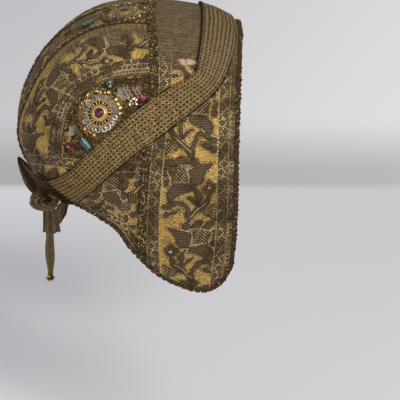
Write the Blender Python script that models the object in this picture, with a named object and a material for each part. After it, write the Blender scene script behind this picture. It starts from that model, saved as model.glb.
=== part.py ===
"""A brocade bonnet with cheek flaps, applied medallions and a tie ribbon.

+X points forward, towards the face, -Y is the wearer's right and +Z is up.
The origin is the inside of the crown, where the head sits. Sizes are named
in millimetres, and the meshes are made in metres.
"""
import math

import bmesh
import bpy
import numpy as np
from mathutils import Matrix, Vector

MM = 0.001

# The outer face of the cloth is a rounded form about this centre
HEAD_CENTRE = np.array([0.0, 0.0, -70.5])
HALF_WIDTH = 75.0
ROUNDNESS = 2.3
# Middle-plane profile: degrees about the centre (0 forward, 90 up), radius
PROFILE = np.array([
    (0, 125), (25, 105), (45, 80), (60, 76.5), (75, 73), (95, 72.5),
    (115, 74.5), (135, 74.5), (155, 74), (175, 74.5), (195, 67.5), (215, 63.5),
    (235, 78), (260, 105), (290, 140), (325, 135)], float)

CLOTH = 2.0
GAP = 0.3
SEAM_RADIUS = 0.75
SEAM_DEPTH = 0.6
EDGE_RADIUS = 1.2
EDGE_DEPTH = 0.9
# The band seam stops this many degrees above the lower edge
SEAM_END = 5.0
SEAM_TRIM = SEAM_RADIUS + GAP + 0.15
EDGE_TRIM = EDGE_RADIUS + GAP + 0.2
# Half the gap where two panels meet with no cord between them
JOINT_TRIM = 0.35
# Points along a panel's seam line, and how many of them show where its neighbour runs
SEAM_POINTS = 300
NEIGHBOUR = 40

# Front band: degrees round from the top, x of its rear seam, x of its edge
BAND_SECTIONS = np.array([
    (0, 0.8, 51.4), (10, 1.4, 50.8), (24, 2.7, 50.4), (35, 3.4, 50.0),
    (45, 3.5, 49.6), (54, 3.0, 49.2), (64, 1.4, 48.8), (74, -0.3, 48.4),
    (85, -1.5, 48.2), (96, -2.6, 48.1), (108, -3.3, 47.6), (119, -3.5, 46.8),
    (127, -3.0, 45.4), (135, -2.8, 43.5)], float)
# Lower end of the band: share of its width from the rear seam, degrees
BAND_END = np.array([
    (0.0, 123.6), (0.1, 126.8), (0.2, 129.2), (0.35, 131.5), (0.5, 133.3),
    (0.68, 134.8), (0.82, 134.4), (0.93, 132.0), (1.0, 127.5)], float)

# Crown strip: degrees along the profile, half width
CROWN_START = 89.4
CROWN_END = 206.0
CROWN_WIDTH = np.array([
    (89, 15.0), (100, 13.2), (115, 12.5), (130, 12.5), (145, 15.0), (165, 18.0),
    (185, 19.5), (210, 20.0)], float)
# Degrees along the profile where the lower strip starts at the back
LOWER_START = 180.0
# Degrees round from the top where the crown seam meets the band
CROWN_CORNER = 11.9

# Lines on the side: x, degrees round from the top
BORDER_LINE = np.array([
    (3.5, 43.5), (-9.6, 44.2), (-19.4, 45.4), (-28.7, 47.6), (-34.8, 50.3),
    (-39.8, 54.5), (-42.7, 59.5), (-44.3, 65.6), (-45.3, 72.0), (-45.8, 78.8)], float)
LOWER_LINE = np.array([
    (-0.9, 78.4), (-16.0, 78.8), (-31.5, 79.0), (-45.8, 78.8), (-59.6, 80.4),
    (-68.9, 87.5)], float)
HEM_LINE = np.array([
    (-3.0, 123.6), (-8.5, 119.7), (-12.8, 115.3), (-17.1, 110.9), (-23.8, 108.7),
    (-31.0, 107.4), (-37.6, 106.6), (-44.0, 106.8), (-50.0, 110.5)], float)
# Where the medallion panel turns from its top edge to its rear edge
GROUND_CORNER = (-34.8, 50.3)

# Tie ribbon on the head: x and degrees of its front edge, then its rear edge
RIBBON_SECTIONS = np.array([
    (48.1, 0, 29.8, 0), (47.2, 10.6, 29.6, 10), (45.2, 28.7, 29.0, 21.5),
    (42.2, 38.7, 27.4, 34), (37.2, 47.4, 25.4, 41.5), (28.0, 55.1, 14.9, 47.4),
    (21.2, 59.5, 8.0, 50.9), (13.3, 64.1, 1.3, 54.4), (4.9, 68.9, -6.0, 58.2),
    (-4.6, 73.7, -13.5, 63.0), (-13.7, 79.7, -22.5, 69.3),
    (-23.9, 87.5, -33.0, 77.2), (-32.9, 96.1, -43.8, 87.1)], float)
# Where it leaves the head for the knot: lower edge, then upper edge
RIBBON_FREE = np.array([
    (-40.5, -57.8, -91.0, -54.0, -52.3, -77.5),
    (-49.5, -42.8, -94.6, -59.6, -38.5, -86.0),
    (-54.0, -26.0, -101.5, -62.2, -22.0, -96.0),
    (-57.4, -6.9, -113.6, -61.8, -6.6, -111.2)], float)
RIBBON_THICKNESS = 1.0
RIBBON_LIFT = 0.6

# Applied ornaments of one side: x and degrees from the top
MEDALLION_AT = (-25.9, 58.6)
CROWN_MEDALLION_ANGLE = 100.6
BEZEL_RADIUS = 6.6
PLATE_RADIUS = 10.9
PLATE_THICKNESS = 0.9
SPANGLE_RADII = (11.3, 14.3)
# Degrees round a medallion: the side spangles end where the tie ribbon crosses them
SPANGLE_ARC = (2.0, 258.0)
FULL_ARC = (0.0, 356.0)
# Radius and height above the cloth
BEZEL_PROFILE = [
    (2.9, 0.0), (6.6, 0.0), (6.6, 0.9), (5.4, 1.4), (4.4, 1.2), (4.0, 2.0), (3.2, 2.1), (2.9, 1.6)]
STONE_PROFILE = [
    (0.25, 0.0), (2.4, 0.0), (2.6, 1.0), (2.3, 1.8), (1.45, 2.4), (0.25, 2.7)]
# Name, x, degrees from the top, length, width, turn of its length from +X
APPLIED = (
    ("silver_spray_upper", -8.4, 52.2, 12.0, 7.5, 68.0),
    ("magenta_leaf_upper", -3.0, 53.5, 6.0, 2.8, 70.0),
    ("teal_leaf_upper", -19.5, 46.9, 4.8, 2.6, 20.0),
    ("silver_spray_lower", -40.2, 68.6, 9.0, 5.6, 40.0),
    ("magenta_leaf_lower", -42.2, 73.4, 4.8, 2.6, 0.0),
    ("teal_leaf_lower", -33.2, 71.9, 8.0, 2.4, -48.0),
)
# Name, finish, degrees along the profile, y, length, width, turn
CROWN_LEAVES = (
    ("teal_leaf_crown", "teal_foil", 117.0, -5.5, 7.0, 2.8, 15.0),
    ("gold_leaf_crown", "gold", 127.5, -1.0, 8.0, 3.6, -10.0),
)
APPLIED_THICKNESS = 0.7
RED_BEAD_AT = (-3.6, 76.4)
RED_BEAD_RADIUS = 0.8
RED_BEAD_LIFT = 1.1

# Bow in the middle plane: x, y, z, width
LOOP_ROWS = np.array([
    (-62.9, -1.0, -107.3, 9.5), (-66.5, -1.5, -101.2, 8.4),
    (-70.5, -1.5, -94.0, 5.8), (-74.2, -1.0, -86.8, 2.0)], float)
FOLD_ROWS = np.array([
    (-57.4, 0.0, -120.0, 7.4), (-56.8, 0.0, -126.0, 9.2),
    (-56.4, 0.0, -133.8, 10.2)], float)
TAIL_ROWS = np.array([
    (-57.2, 0.0, -134.2, 4.6), (-57.4, 0.3, -142.0, 4.6),
    (-57.0, 0.0, -150.5, 4.2), (-57.5, -0.2, -160.4, 3.6)], float)
STUB_ROWS = np.array([
    (-46.4, -44.4, -94.4, 4.2), (-47.6, -44.2, -100.5, 4.2),
    (-50.0, -43.8, -107.0, 3.2)], float)
KNOT_CENTRE = np.array([-61.6, 0.0, -114.4])
KNOT_RADII = np.array([7.0, 7.6, 5.6])
TAIL_KNOT_CENTRE = np.array([-57.6, -0.2, -162.8])
TAIL_KNOT_RADIUS = 2.0

# Base colour, roughness, metallic
FINISHES = {
    "brocade": ((0.165, 0.105, 0.050), 0.55, 0.35),
    "ground": ((0.070, 0.048, 0.028), 0.70, 0.20),
    "ribbon": ((0.160, 0.115, 0.055), 0.60, 0.30),
    "gimp": ((0.075, 0.052, 0.030), 0.60, 0.40),
    "silver_thread": ((0.480, 0.450, 0.400), 0.35, 0.90),
    "gold": ((0.640, 0.400, 0.130), 0.30, 1.00),
    "garnet": ((0.110, 0.010, 0.020), 0.12, 0.00),
    "magenta_foil": ((0.350, 0.010, 0.120), 0.25, 0.60),
    "teal_foil": ((0.050, 0.250, 0.240), 0.25, 0.60),
}


def smooth_through(at, knots, values):
    """Read a smooth curve that passes through values at the knots."""
    slopes = np.gradient(values, knots, axis=0)
    i = np.clip(np.searchsorted(knots, at, side="right") - 1, 0, len(knots) - 2)
    step = knots[i + 1] - knots[i]
    f = (at - knots[i]) / step
    if values.ndim > 1:
        step = step[..., None]
        f = f[..., None]
    start = (2 * f ** 3 - 3 * f ** 2 + 1) * values[i] + (f ** 3 - 2 * f ** 2 + f) * step * slopes[i]
    end = (3 * f ** 2 - 2 * f ** 3) * values[i + 1] + (f ** 3 - f ** 2) * step * slopes[i + 1]
    return start + end


def profile_radius(degrees):
    """Distance from the centre to the cloth in the middle plane."""
    turns = np.concatenate([PROFILE[:, 0] - 360, PROFILE[:, 0], PROFILE[:, 0] + 360])
    return smooth_through(np.mod(degrees, 360), turns, np.tile(PROFILE[:, 1], 3))


def head_size(points):
    """One on the cloth's outer face, less inside it and more outside."""
    d = points - HEAD_CENTRE
    degrees = np.degrees(np.arctan2(d[..., 2], d[..., 0]))
    side = np.abs(d[..., 1]) / HALF_WIDTH
    middle = np.hypot(d[..., 0], d[..., 2]) / profile_radius(degrees)
    return (side ** ROUNDNESS + middle ** ROUNDNESS) ** (1 / ROUNDNESS)


def head_normal(points):
    """Outward direction of the cloth, from differences of head_size."""
    step = 0.05
    slopes = [head_size(points + step * axis) - head_size(points - step * axis) for axis in np.eye(3)]
    normal = np.stack(slopes, -1)
    return normal / np.linalg.norm(normal, axis=-1, keepdims=True)


def on_head(points):
    """Move points along lines from the centre onto the cloth."""
    return HEAD_CENTRE + (points - HEAD_CENTRE) / head_size(points)[..., None]


def out_of_head(points):
    """Points inside the cloth's outer face come out to it, and others stay."""
    size = np.minimum(head_size(points), 1.0)
    return HEAD_CENTRE + (points - HEAD_CENTRE) / size[..., None]


def station(x, degrees):
    """Point of the right side at x, round from the top by some degrees."""
    x, degrees = np.broadcast_arrays(np.asarray(x, float), np.asarray(degrees, float))
    turn = np.radians(degrees)
    ray = np.stack([0 * x, -np.sin(turn), np.cos(turn)], -1)
    start = np.stack([x, 0 * x, 0 * x + HEAD_CENTRE[2]], -1)
    low = np.zeros(x.shape)
    high = np.full(x.shape, 160.0)
    for _ in range(40):
        middle = (low + high) / 2
        inside = head_size(start + middle[..., None] * ray) < 1
        low = np.where(inside, middle, low)
        high = np.where(inside, high, middle)
    return start + low[..., None] * ray


def arch(degrees, y):
    """Point of the cloth above the profile angle, y to the side."""
    degrees, y = np.broadcast_arrays(np.asarray(degrees, float), np.asarray(y, float))
    radius = profile_radius(degrees) * (1 - (np.abs(y) / HALF_WIDTH) ** ROUNDNESS) ** (1 / ROUNDNESS)
    turn = np.radians(degrees)
    return HEAD_CENTRE + np.stack([radius * np.cos(turn), y, radius * np.sin(turn)], -1)


def mirrored(points):
    """The same points on the left side."""
    return points * np.array([1.0, -1.0, 1.0])


def evenly(points, count):
    """The same line with count points at even distances."""
    steps = np.linalg.norm(np.diff(points, axis=0), axis=1)
    length = np.concatenate([[0], np.cumsum(steps)])
    at = np.linspace(0, length[-1], count)
    return np.stack([np.interp(at, length, points[:, k]) for k in range(3)], -1)


def smooth_line(points, count):
    """A smooth line through a few points, with count points."""
    dense = smooth_through(np.linspace(0, len(points) - 1, 200), np.arange(len(points), dtype=float), points)
    return evenly(dense, count)


def trimmed(grid, start, end):
    """Shorten each row of a grid by start and end, at both ends of the row."""
    rows = []
    for row in grid:
        steps = np.linalg.norm(np.diff(row, axis=0), axis=1)
        length = np.concatenate([[0], np.cumsum(steps)])
        at = np.linspace(start, length[-1] - end, len(row))
        rows.append(np.stack([np.interp(at, length, row[:, k]) for k in range(3)], -1))
    return np.array(rows)


def trimmed_all_round(grid, first_row, last_row, row_start, row_end):
    """Set a grid back from all four of its edges."""
    grid = trimmed(grid, row_start, row_end)
    return trimmed(grid.transpose(1, 0, 2), first_row, last_row).transpose(1, 0, 2)


def patch(first, last, starts, ends):
    """Grid spanned by four lines that meet at its corners, laid on the head."""
    u = np.linspace(0, 1, len(starts))[:, None, None]
    v = np.linspace(0, 1, len(first))[None, :, None]
    along = (1 - u) * first[None] + u * last[None]
    across = (1 - v) * starts[:, None] + v * ends[:, None]
    corners = ((1 - u) * (1 - v) * first[0] + (1 - u) * v * first[-1]
               + u * (1 - v) * last[0] + u * v * last[-1])
    return on_head(along + across - corners)


def inward_copy(line, distance, before, after):
    """The line moved sideways over the cloth, to the side where its neighbours lie."""
    ahead = np.gradient(line, axis=0)
    side = np.cross(head_normal(line), ahead)
    side /= np.linalg.norm(side, axis=1, keepdims=True)
    sense = np.sign(side[0] @ (before[-NEIGHBOUR] - before[-1]) + side[-1] @ (after[NEIGHBOUR] - after[0]))
    return on_head(line + sense * distance * side)


def join_corner(before, after):
    """Cut two lines where the end of one comes nearest the start of the next."""
    tail = len(before) // 2
    head = len(after) // 2
    apart = np.linalg.norm(before[tail:, None] - after[None, :head], axis=-1)
    i, j = np.unravel_index(np.argmin(apart), apart.shape)
    corner = (before[tail + i] + after[j]) / 2
    return np.vstack([before[:tail + i], corner]), np.vstack([corner, after[j + 1:]])


def panel(first, last, starts, ends, trims, columns, rows):
    """Grid of one cloth panel, set back from each of its four seam lines."""
    lines = [evenly(line, SEAM_POINTS) for line in (first, ends, last[::-1], starts[::-1])]
    lines = [inward_copy(lines[k], trims[k], lines[k - 1], lines[(k + 1) % 4]) for k in range(4)]
    for k in range(4):
        lines[k], lines[(k + 1) % 4] = join_corner(lines[k], lines[(k + 1) % 4])
    first, ends, last, starts = lines
    across = evenly(first, columns), evenly(last[::-1], columns)
    along = evenly(starts[::-1], rows), evenly(ends, rows)
    return patch(*across, *along)


def material(name):
    """Find or make the Principled material of one finish."""
    found = bpy.data.materials.get(name)
    if found:
        return found
    colour, roughness, metallic = FINISHES[name]
    made = bpy.data.materials.new(name)
    made.use_nodes = True
    shader = made.node_tree.nodes["Principled BSDF"]
    shader.inputs["Base Color"].default_value = (*colour, 1.0)
    shader.inputs["Roughness"].default_value = roughness
    shader.inputs["Metallic"].default_value = metallic
    return made


def add_object(name, finish, points, faces):
    """Make one closed mesh object from points in millimetres."""
    mesh = bpy.data.meshes.new(name)
    mesh.from_pydata([tuple(p) for p in np.asarray(points) * MM], [], faces)
    shape = bmesh.new()
    shape.from_mesh(mesh)
    bmesh.ops.triangulate(shape, faces=shape.faces)
    bmesh.ops.recalc_face_normals(shape, faces=shape.faces)
    shape.to_mesh(mesh)
    shape.free()
    mesh.shade_smooth()
    mesh.set_sharp_from_angle(angle=math.radians(40))
    mesh.materials.append(material(finish))
    made = bpy.data.objects.new(name, mesh)
    bpy.context.scene.collection.objects.link(made)
    return made


def grid_normals(grid):
    """Directions square to a grid of points, pointing away from the head."""
    normal = np.cross(np.gradient(grid, axis=0), np.gradient(grid, axis=1))
    normal /= np.maximum(np.linalg.norm(normal, axis=-1, keepdims=True), 1e-9)
    outward = np.sum(normal * (grid - HEAD_CENTRE)) > 0
    return normal if outward else -normal


def slab(name, finish, grid, low, high):
    """A sheet between two heights over a grid, closed along its edges."""
    normal = grid_normals(grid)
    rows, columns = grid.shape[:2]
    layers = np.concatenate([grid + low * normal, grid + high * normal])
    top = rows * columns

    def index(i, j):
        return i * columns + j

    faces = []
    for i in range(rows - 1):
        for j in range(columns - 1):
            quad = [index(i, j), index(i + 1, j), index(i + 1, j + 1), index(i, j + 1)]
            faces.append(quad)
            faces.append([top + k for k in reversed(quad)])
    rim = [index(0, j) for j in range(columns)]
    rim += [index(i, columns - 1) for i in range(1, rows)]
    rim += [index(rows - 1, j) for j in range(columns - 2, -1, -1)]
    rim += [index(i, 0) for i in range(rows - 2, 0, -1)]
    for here, there in zip(rim, rim[1:] + rim[:1]):
        faces.append([here, there, top + there, top + here])
    return add_object(name, finish, layers.reshape(-1, 3), faces)


def tube(name, finish, line, depth, radius, closed=False, sides=5):
    """A round cord along a line of the cloth, its centre at some depth."""
    centre = line - depth * head_normal(line)
    if closed:
        ahead = np.roll(centre, -1, axis=0) - np.roll(centre, 1, axis=0)
    else:
        ahead = np.gradient(centre, axis=0)
    ahead /= np.linalg.norm(ahead, axis=1, keepdims=True)
    across = np.cross(ahead, head_normal(line))
    across /= np.linalg.norm(across, axis=1, keepdims=True)
    up = np.cross(across, ahead)
    points = []
    for k in range(sides):
        turn = 2 * math.pi * (k + 0.5) / sides
        points.append(centre + radius * (math.cos(turn) * across + math.sin(turn) * up))
    points = np.stack(points, 1).reshape(-1, 3)
    count = len(line)
    faces = []
    for i in range(count if closed else count - 1):
        for k in range(sides):
            a = i * sides + k
            b = i * sides + (k + 1) % sides
            c = (i + 1) % count * sides
            faces.append([a, b, c + (k + 1) % sides, c + k])
    if not closed:
        faces.append(list(range(sides)))
        faces.append([(count - 1) * sides + k for k in range(sides)])
    return add_object(name, finish, points, faces)


def lump(name, finish, centre, radii, ridges=0, ridge_depth=0.0, rings=8, sides=16):
    """A rounded solid, with grooves round it where a ribbon is wound."""
    points = [centre + np.array([0, 0, radii[2]])]
    for i in range(1, rings):
        polar = math.pi * i / rings
        for k in range(sides):
            turn = 2 * math.pi * k / sides
            swell = 1 + ridge_depth * math.cos(ridges * turn) * math.sin(polar)
            level = math.sin(polar)
            way = np.array([level * math.cos(turn), level * math.sin(turn), math.cos(polar)])
            points.append(centre + radii * way * swell)
    points.append(centre - np.array([0, 0, radii[2]]))
    last = len(points) - 1
    faces = []
    for k in range(sides):
        there = (k + 1) % sides
        faces.append([0, 1 + k, 1 + there])
        faces.append([last, last - sides + there, last - sides + k])
        for i in range(rings - 2):
            a = 1 + i * sides
            faces.append([a + k, a + sides + k, a + sides + there, a + there])
    return add_object(name, finish, np.array(points), faces)


def turned(name, finish, profile, place, sides, solid=False):
    """Turn an outline of radius and height into a ring, or a solid capped at its axis."""
    points = []
    for k in range(sides):
        turn = 2 * math.pi * k / sides
        for radius, height in profile:
            points.append(place @ Vector((radius * math.cos(turn), radius * math.sin(turn), height)))
    count = len(profile)
    faces = []
    for k in range(sides):
        here = k * count
        there = (k + 1) % sides * count
        for i in range(count - 1 if solid else count):
            j = (i + 1) % count
            faces.append([here + i, here + j, there + j, there + i])
    if solid:
        faces.append([k * count for k in range(sides)])
        faces.append([k * count + count - 1 for k in range(sides)])
    return add_object(name, finish, np.array(points), faces)


def seat_on_head(point):
    """Placing matrix, in millimetres, with +Z square to the cloth."""
    normal = Vector(head_normal(point))
    side = Vector((1, 0, 0)).cross(normal).normalized()
    forward = normal.cross(side)
    turn = Matrix((forward, -side, normal)).transposed()
    return Matrix.Translation(Vector(point)) @ turn.to_4x4()


def ring_on_head(name, finish, point, radii, arc, low, high, segments):
    """A flat ring, or part of one, that follows the cloth round a point."""
    place = seat_on_head(point)
    turns = np.radians(np.linspace(arc[0], arc[1], segments + 1))
    steps = np.linspace(radii[0], radii[1], 3)
    grid = np.array([[place @ Vector((r * math.cos(t), r * math.sin(t), 0)) for r in steps] for t in turns])
    return slab(name, finish, on_head(grid), low, high)


def leaf_on_head(name, finish, point, length, width, turn):
    """A small lens-shaped piece that follows the cloth."""
    place = seat_on_head(point) @ Matrix.Rotation(math.radians(turn), 4, "Z")
    along = np.linspace(-1, 1, 5)
    half = width / 2 * np.sqrt(1 - 0.85 * along ** 2)
    grid = [[place @ Vector((a * length / 2, h * s, 0)) for s in (-1, 0, 1)] for a, h in zip(along, half)]
    return slab(name, finish, on_head(np.array(grid)), GAP, GAP + APPLIED_THICKNESS)


def strap(name, finish, rows, thickness, pleats=0, pleat_depth=0.0, along=8, across=4):
    """A ribbon end along a line, wide in the XZ plane, with lengthwise pleats."""
    knots = np.arange(len(rows), dtype=float)
    line = smooth_through(np.linspace(0, len(rows) - 1, along + 1), knots, rows)
    ahead = np.gradient(line[:, :3], axis=0)
    side = np.stack([-ahead[:, 2], 0 * ahead[:, 0], ahead[:, 0]], -1)
    side /= np.linalg.norm(side, axis=1, keepdims=True)
    w = np.linspace(-0.5, 0.5, across + 1)
    wave = pleat_depth * np.sin(2 * math.pi * pleats * w)
    grid = line[:, None, :3] + side[:, None] * (line[:, 3, None] * w)[..., None]
    grid = grid + wave[None, :, None] * np.array([0.0, 1.0, 0.0])
    return slab(name, finish, grid, -thickness / 2, thickness / 2)


def band_x(degrees, column):
    """x of one of the band's seams at some degrees from the top."""
    return smooth_through(np.asarray(degrees, float), BAND_SECTIONS[:, 0], BAND_SECTIONS[:, column])


def band_bottom(count):
    """The lower end of the band, from its rear seam to its front edge."""
    share = np.linspace(0, 1, count)
    degrees = smooth_through(share, BAND_END[:, 0], BAND_END[:, 1])
    return station(band_x(degrees, 1) * (1 - share) + band_x(degrees, 2) * share, degrees)


def band_front(count):
    """The front edge of the right half of the band, from the top down."""
    degrees = np.linspace(0, BAND_END[-1, 1], count)
    return station(band_x(degrees, 2), degrees)


def add_front_band():
    """The wide brocade strip from one cheek over the head to the other."""
    top = station(np.linspace(BAND_SECTIONS[0, 1], BAND_SECTIONS[0, 2], 40), 0)
    rear = band_seam(0, BAND_END[0, 1], 200)
    right = panel(top, band_bottom(200), rear, band_front(200), (0, EDGE_TRIM, EDGE_TRIM, SEAM_TRIM), 7, 24)
    grid = np.concatenate([right[::-1], mirrored(right[1:])])
    return slab("front_band", "brocade", grid, -CLOTH, 0)


def crown_seam(start, end, count):
    """The seam between the crown strip and the right side."""
    degrees = np.linspace(start, end, count)
    return arch(degrees, -smooth_through(degrees, CROWN_WIDTH[:, 0], CROWN_WIDTH[:, 1]))


def hem_line(count):
    """The right lower edge behind the band, to the crown seam."""
    seam_end = crown_seam(CROWN_END, CROWN_END, 1)
    points = np.concatenate([station(HEM_LINE[:, 0], HEM_LINE[:, 1]), seam_end])
    return on_head(smooth_line(points, count))


def lower_line(count):
    """The upper edge of the right lower strip, to the crown seam."""
    seam_end = crown_seam(LOWER_START, LOWER_START, 1)
    points = np.concatenate([station(LOWER_LINE[:, 0], LOWER_LINE[:, 1]), seam_end])
    return on_head(smooth_line(points, count))


def band_seam(start, end, count):
    """The rear seam of the band on the right side."""
    degrees = np.linspace(start, end, count)
    return station(band_x(degrees, 1), degrees)


def add_crown_strip():
    """The narrow strip from the band over the crown to the nape."""
    right = evenly(crown_seam(CROWN_START, CROWN_END, 90), 23)
    grid = on_head(np.stack([right * (1 - s) + mirrored(right) * s for s in np.linspace(0, 1, 5)], 1))
    grid = trimmed_all_round(grid, SEAM_TRIM, EDGE_TRIM, SEAM_TRIM, SEAM_TRIM)
    return slab("crown_strip", "brocade", grid, -CLOTH, 0)


def side_grids():
    """The three panels of the right side as grids of points on the cloth."""
    border = on_head(smooth_line(station(BORDER_LINE[:, 0], BORDER_LINE[:, 1]), 200))
    low = lower_line(200)
    corner = np.argmin(np.linalg.norm(low - border[-1], axis=1))
    turn = np.argmin(np.linalg.norm(border - station(*GROUND_CORNER), axis=1))
    crown = crown_seam(CROWN_START, LOWER_START, 200)
    beside_upper = band_seam(CROWN_CORNER, BORDER_LINE[0, 1], 60)
    beside_ground = band_seam(BORDER_LINE[0, 1], LOWER_LINE[0, 1], 60)
    beside_lower = band_seam(LOWER_LINE[0, 1], HEM_LINE[0, 1], 60)
    upper = panel(
        crown, border, beside_upper, low[corner:][::-1],
        (SEAM_TRIM, JOINT_TRIM, SEAM_TRIM, SEAM_TRIM), 18, 6)
    ground = panel(
        border[:turn + 1], low[:corner + 1], beside_ground, border[turn:],
        (SEAM_TRIM, SEAM_TRIM, JOINT_TRIM, SEAM_TRIM), 9, 8)
    lower = panel(
        low, hem_line(200), beside_lower, crown_seam(LOWER_START, CROWN_END, 60),
        (JOINT_TRIM, SEAM_TRIM, EDGE_TRIM, SEAM_TRIM), 19, 6)
    return {"upper_strip": upper, "medallion_ground": ground, "lower_strip": lower}


def add_sides():
    """The upper strip, medallion ground and lower strip of both sides."""
    for name, grid in side_grids().items():
        finish = "ground" if name == "medallion_ground" else "brocade"
        slab(name + "_right", finish, grid, -CLOTH, 0)
        slab(name + "_left", finish, mirrored(grid), -CLOTH, 0)


def add_seams_and_edging():
    """Cords in the seams, and the looped edging round the whole bonnet."""
    over = band_seam(0, HEM_LINE[0, 1] - SEAM_END, 22)
    over = np.concatenate([over[::-1], mirrored(over[1:])])
    tube("band_seam_cord", "gimp", over, SEAM_DEPTH, SEAM_RADIUS)
    crown = evenly(crown_seam(CROWN_START, CROWN_END, 90), 100)[2:-2]
    crown = evenly(crown, 24)
    border = on_head(smooth_line(station(BORDER_LINE[:, 0], BORDER_LINE[:, 1]), 60))
    border = evenly(border[2:-2], 20)
    for side, turn in (("right", lambda p: p), ("left", mirrored)):
        tube("crown_seam_cord_" + side, "gimp", turn(crown), SEAM_DEPTH, SEAM_RADIUS)
        tube("border_seam_cord_" + side, "gimp", turn(border), SEAM_DEPTH, SEAM_RADIUS)
    nape_y = -np.linspace(smooth_through(np.array(CROWN_END), CROWN_WIDTH[:, 0], CROWN_WIDTH[:, 1]), 0, 8)
    nape = arch(CROWN_END, nape_y)
    right = np.concatenate([band_front(60), band_bottom(30)[::-1][1:], hem_line(60)[1:], nape[1:]])
    right = evenly(right, 51)
    loop = np.concatenate([right, mirrored(right[1:-1])[::-1]])
    tube("edging", "gimp", loop, EDGE_DEPTH, EDGE_RADIUS, closed=True)


def ribbon_edges(count):
    """The two edges of the right half of the tie ribbon, from the top to the knot."""
    free = RIBBON_FREE
    front = np.concatenate([station(RIBBON_SECTIONS[:, 0], RIBBON_SECTIONS[:, 1]), free[:, :3]])
    rear = np.concatenate([station(RIBBON_SECTIONS[:, 2], RIBBON_SECTIONS[:, 3]), free[:, 3:]])
    knots = np.arange(len(front), dtype=float)
    at = np.linspace(0, len(front) - 1, count)
    return smooth_through(at, knots, front), smooth_through(at, knots, rear)


def add_tie_ribbon():
    """The openwork ribbon over the band, turned at the temple, down to the knot."""
    front, rear = ribbon_edges(30)
    share = np.linspace(0, 1, 5)[None, :, None]
    right = out_of_head(front[:, None] * (1 - share) + rear[:, None] * share)
    grid = np.concatenate([right[::-1], mirrored(right[1:])])
    return slab("tie_ribbon", "ribbon", grid, RIBBON_LIFT, RIBBON_LIFT + RIBBON_THICKNESS)


def add_medallion(name, point, arc):
    """Garnet in a bezel of gold grains on a silver plate, with gold spangles."""
    place = seat_on_head(point) @ Matrix.Translation((0, 0, GAP))
    turned(name + "_bezel", "gold", BEZEL_PROFILE, place, 14)
    turned(name + "_stone", "garnet", STONE_PROFILE, place, 12, solid=True)
    plate_radii = (BEZEL_RADIUS + GAP, PLATE_RADIUS)
    top = GAP + PLATE_THICKNESS
    ring_on_head(name + "_plate", "silver_thread", point, plate_radii, FULL_ARC, GAP, top, 20)
    ring_on_head(name + "_spangles", "gold", point, SPANGLE_RADII, arc, GAP, top, 16)


def add_ornaments():
    """Medallions, silver sprays, foil leaves and a bead, alike on both sides."""
    finish_of = {"silver": "silver_thread", "magenta": "magenta_foil", "teal": "teal_foil"}
    for side, turn in (("right", lambda p: p), ("left", mirrored)):
        sense = 1 if side == "right" else -1
        arc = SPANGLE_ARC if side == "right" else (-SPANGLE_ARC[1], -SPANGLE_ARC[0])
        add_medallion("medallion_" + side, turn(station(*MEDALLION_AT)), arc)
        for name, x, degrees, length, width, angle in APPLIED:
            point = turn(station(x, degrees))
            finish = finish_of[name.split("_")[0]]
            leaf_on_head(name + "_" + side, finish, point, length, width, sense * angle)
        bead = turn(station(*RED_BEAD_AT))
        centre = bead + RED_BEAD_LIFT * head_normal(bead)
        lump("red_bead_" + side, "garnet", centre, np.full(3, RED_BEAD_RADIUS), rings=4, sides=8)
    crown = arch(CROWN_MEDALLION_ANGLE, 0.0)
    add_medallion("medallion_crown", crown, FULL_ARC)
    for name, finish, degrees, y, length, width, angle in CROWN_LEAVES:
        leaf_on_head(name, finish, arch(degrees, y), length, width, angle)


def add_bow():
    """The knot behind the nape, its loop, the pleated end and the tails."""
    lump("bow_knot", "ribbon", KNOT_CENTRE, KNOT_RADII, ridges=5, ridge_depth=0.05, sides=15)
    strap("bow_loop", "ribbon", LOOP_ROWS, 2.2, pleats=1, pleat_depth=0.7)
    strap("bow_fold", "ribbon", FOLD_ROWS, 1.6, pleats=2.5, pleat_depth=1.3, along=6, across=10)
    strap("bow_tail", "ribbon", TAIL_ROWS, 1.4, pleats=1, pleat_depth=0.5, along=10)
    strap("bow_stub", "ribbon", STUB_ROWS, 1.4, pleats=1, pleat_depth=0.4, along=5)
    lump("tail_knot", "ribbon", TAIL_KNOT_CENTRE, np.full(3, TAIL_KNOT_RADIUS), rings=5, sides=10)


def main():
    """Clear the scene and build the bonnet."""
    for old in list(bpy.data.objects):
        bpy.data.objects.remove(old)
    add_front_band()
    add_crown_strip()
    add_sides()
    add_seams_and_edging()
    add_tie_ribbon()
    add_ornaments()
    add_bow()


main()
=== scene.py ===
"""Looks of the brocade bonnet: woven figures, looped braid, openwork ribbon and medallions.

Lengths are named in millimetres, and every mesh is made in metres in the frame of the
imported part: +X forward, -Y the wearer's right, +Z up.
"""
import math

import bpy
import numpy as np
from mathutils import Matrix, Vector


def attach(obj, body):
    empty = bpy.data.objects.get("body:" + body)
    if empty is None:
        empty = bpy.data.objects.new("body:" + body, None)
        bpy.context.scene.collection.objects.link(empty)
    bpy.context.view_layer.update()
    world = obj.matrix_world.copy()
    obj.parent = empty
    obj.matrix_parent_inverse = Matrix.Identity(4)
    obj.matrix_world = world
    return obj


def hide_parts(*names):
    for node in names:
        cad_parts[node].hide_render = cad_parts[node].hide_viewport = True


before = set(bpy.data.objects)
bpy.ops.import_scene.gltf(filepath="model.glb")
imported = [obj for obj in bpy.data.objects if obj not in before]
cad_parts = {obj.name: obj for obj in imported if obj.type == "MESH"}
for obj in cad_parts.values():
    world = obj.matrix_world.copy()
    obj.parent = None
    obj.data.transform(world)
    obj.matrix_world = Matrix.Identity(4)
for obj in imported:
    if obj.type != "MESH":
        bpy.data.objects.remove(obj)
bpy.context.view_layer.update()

MM = 0.001
# Each side's name, and whether it is the mirror image
SIDES = (("right", False), ("left", True))

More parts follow.
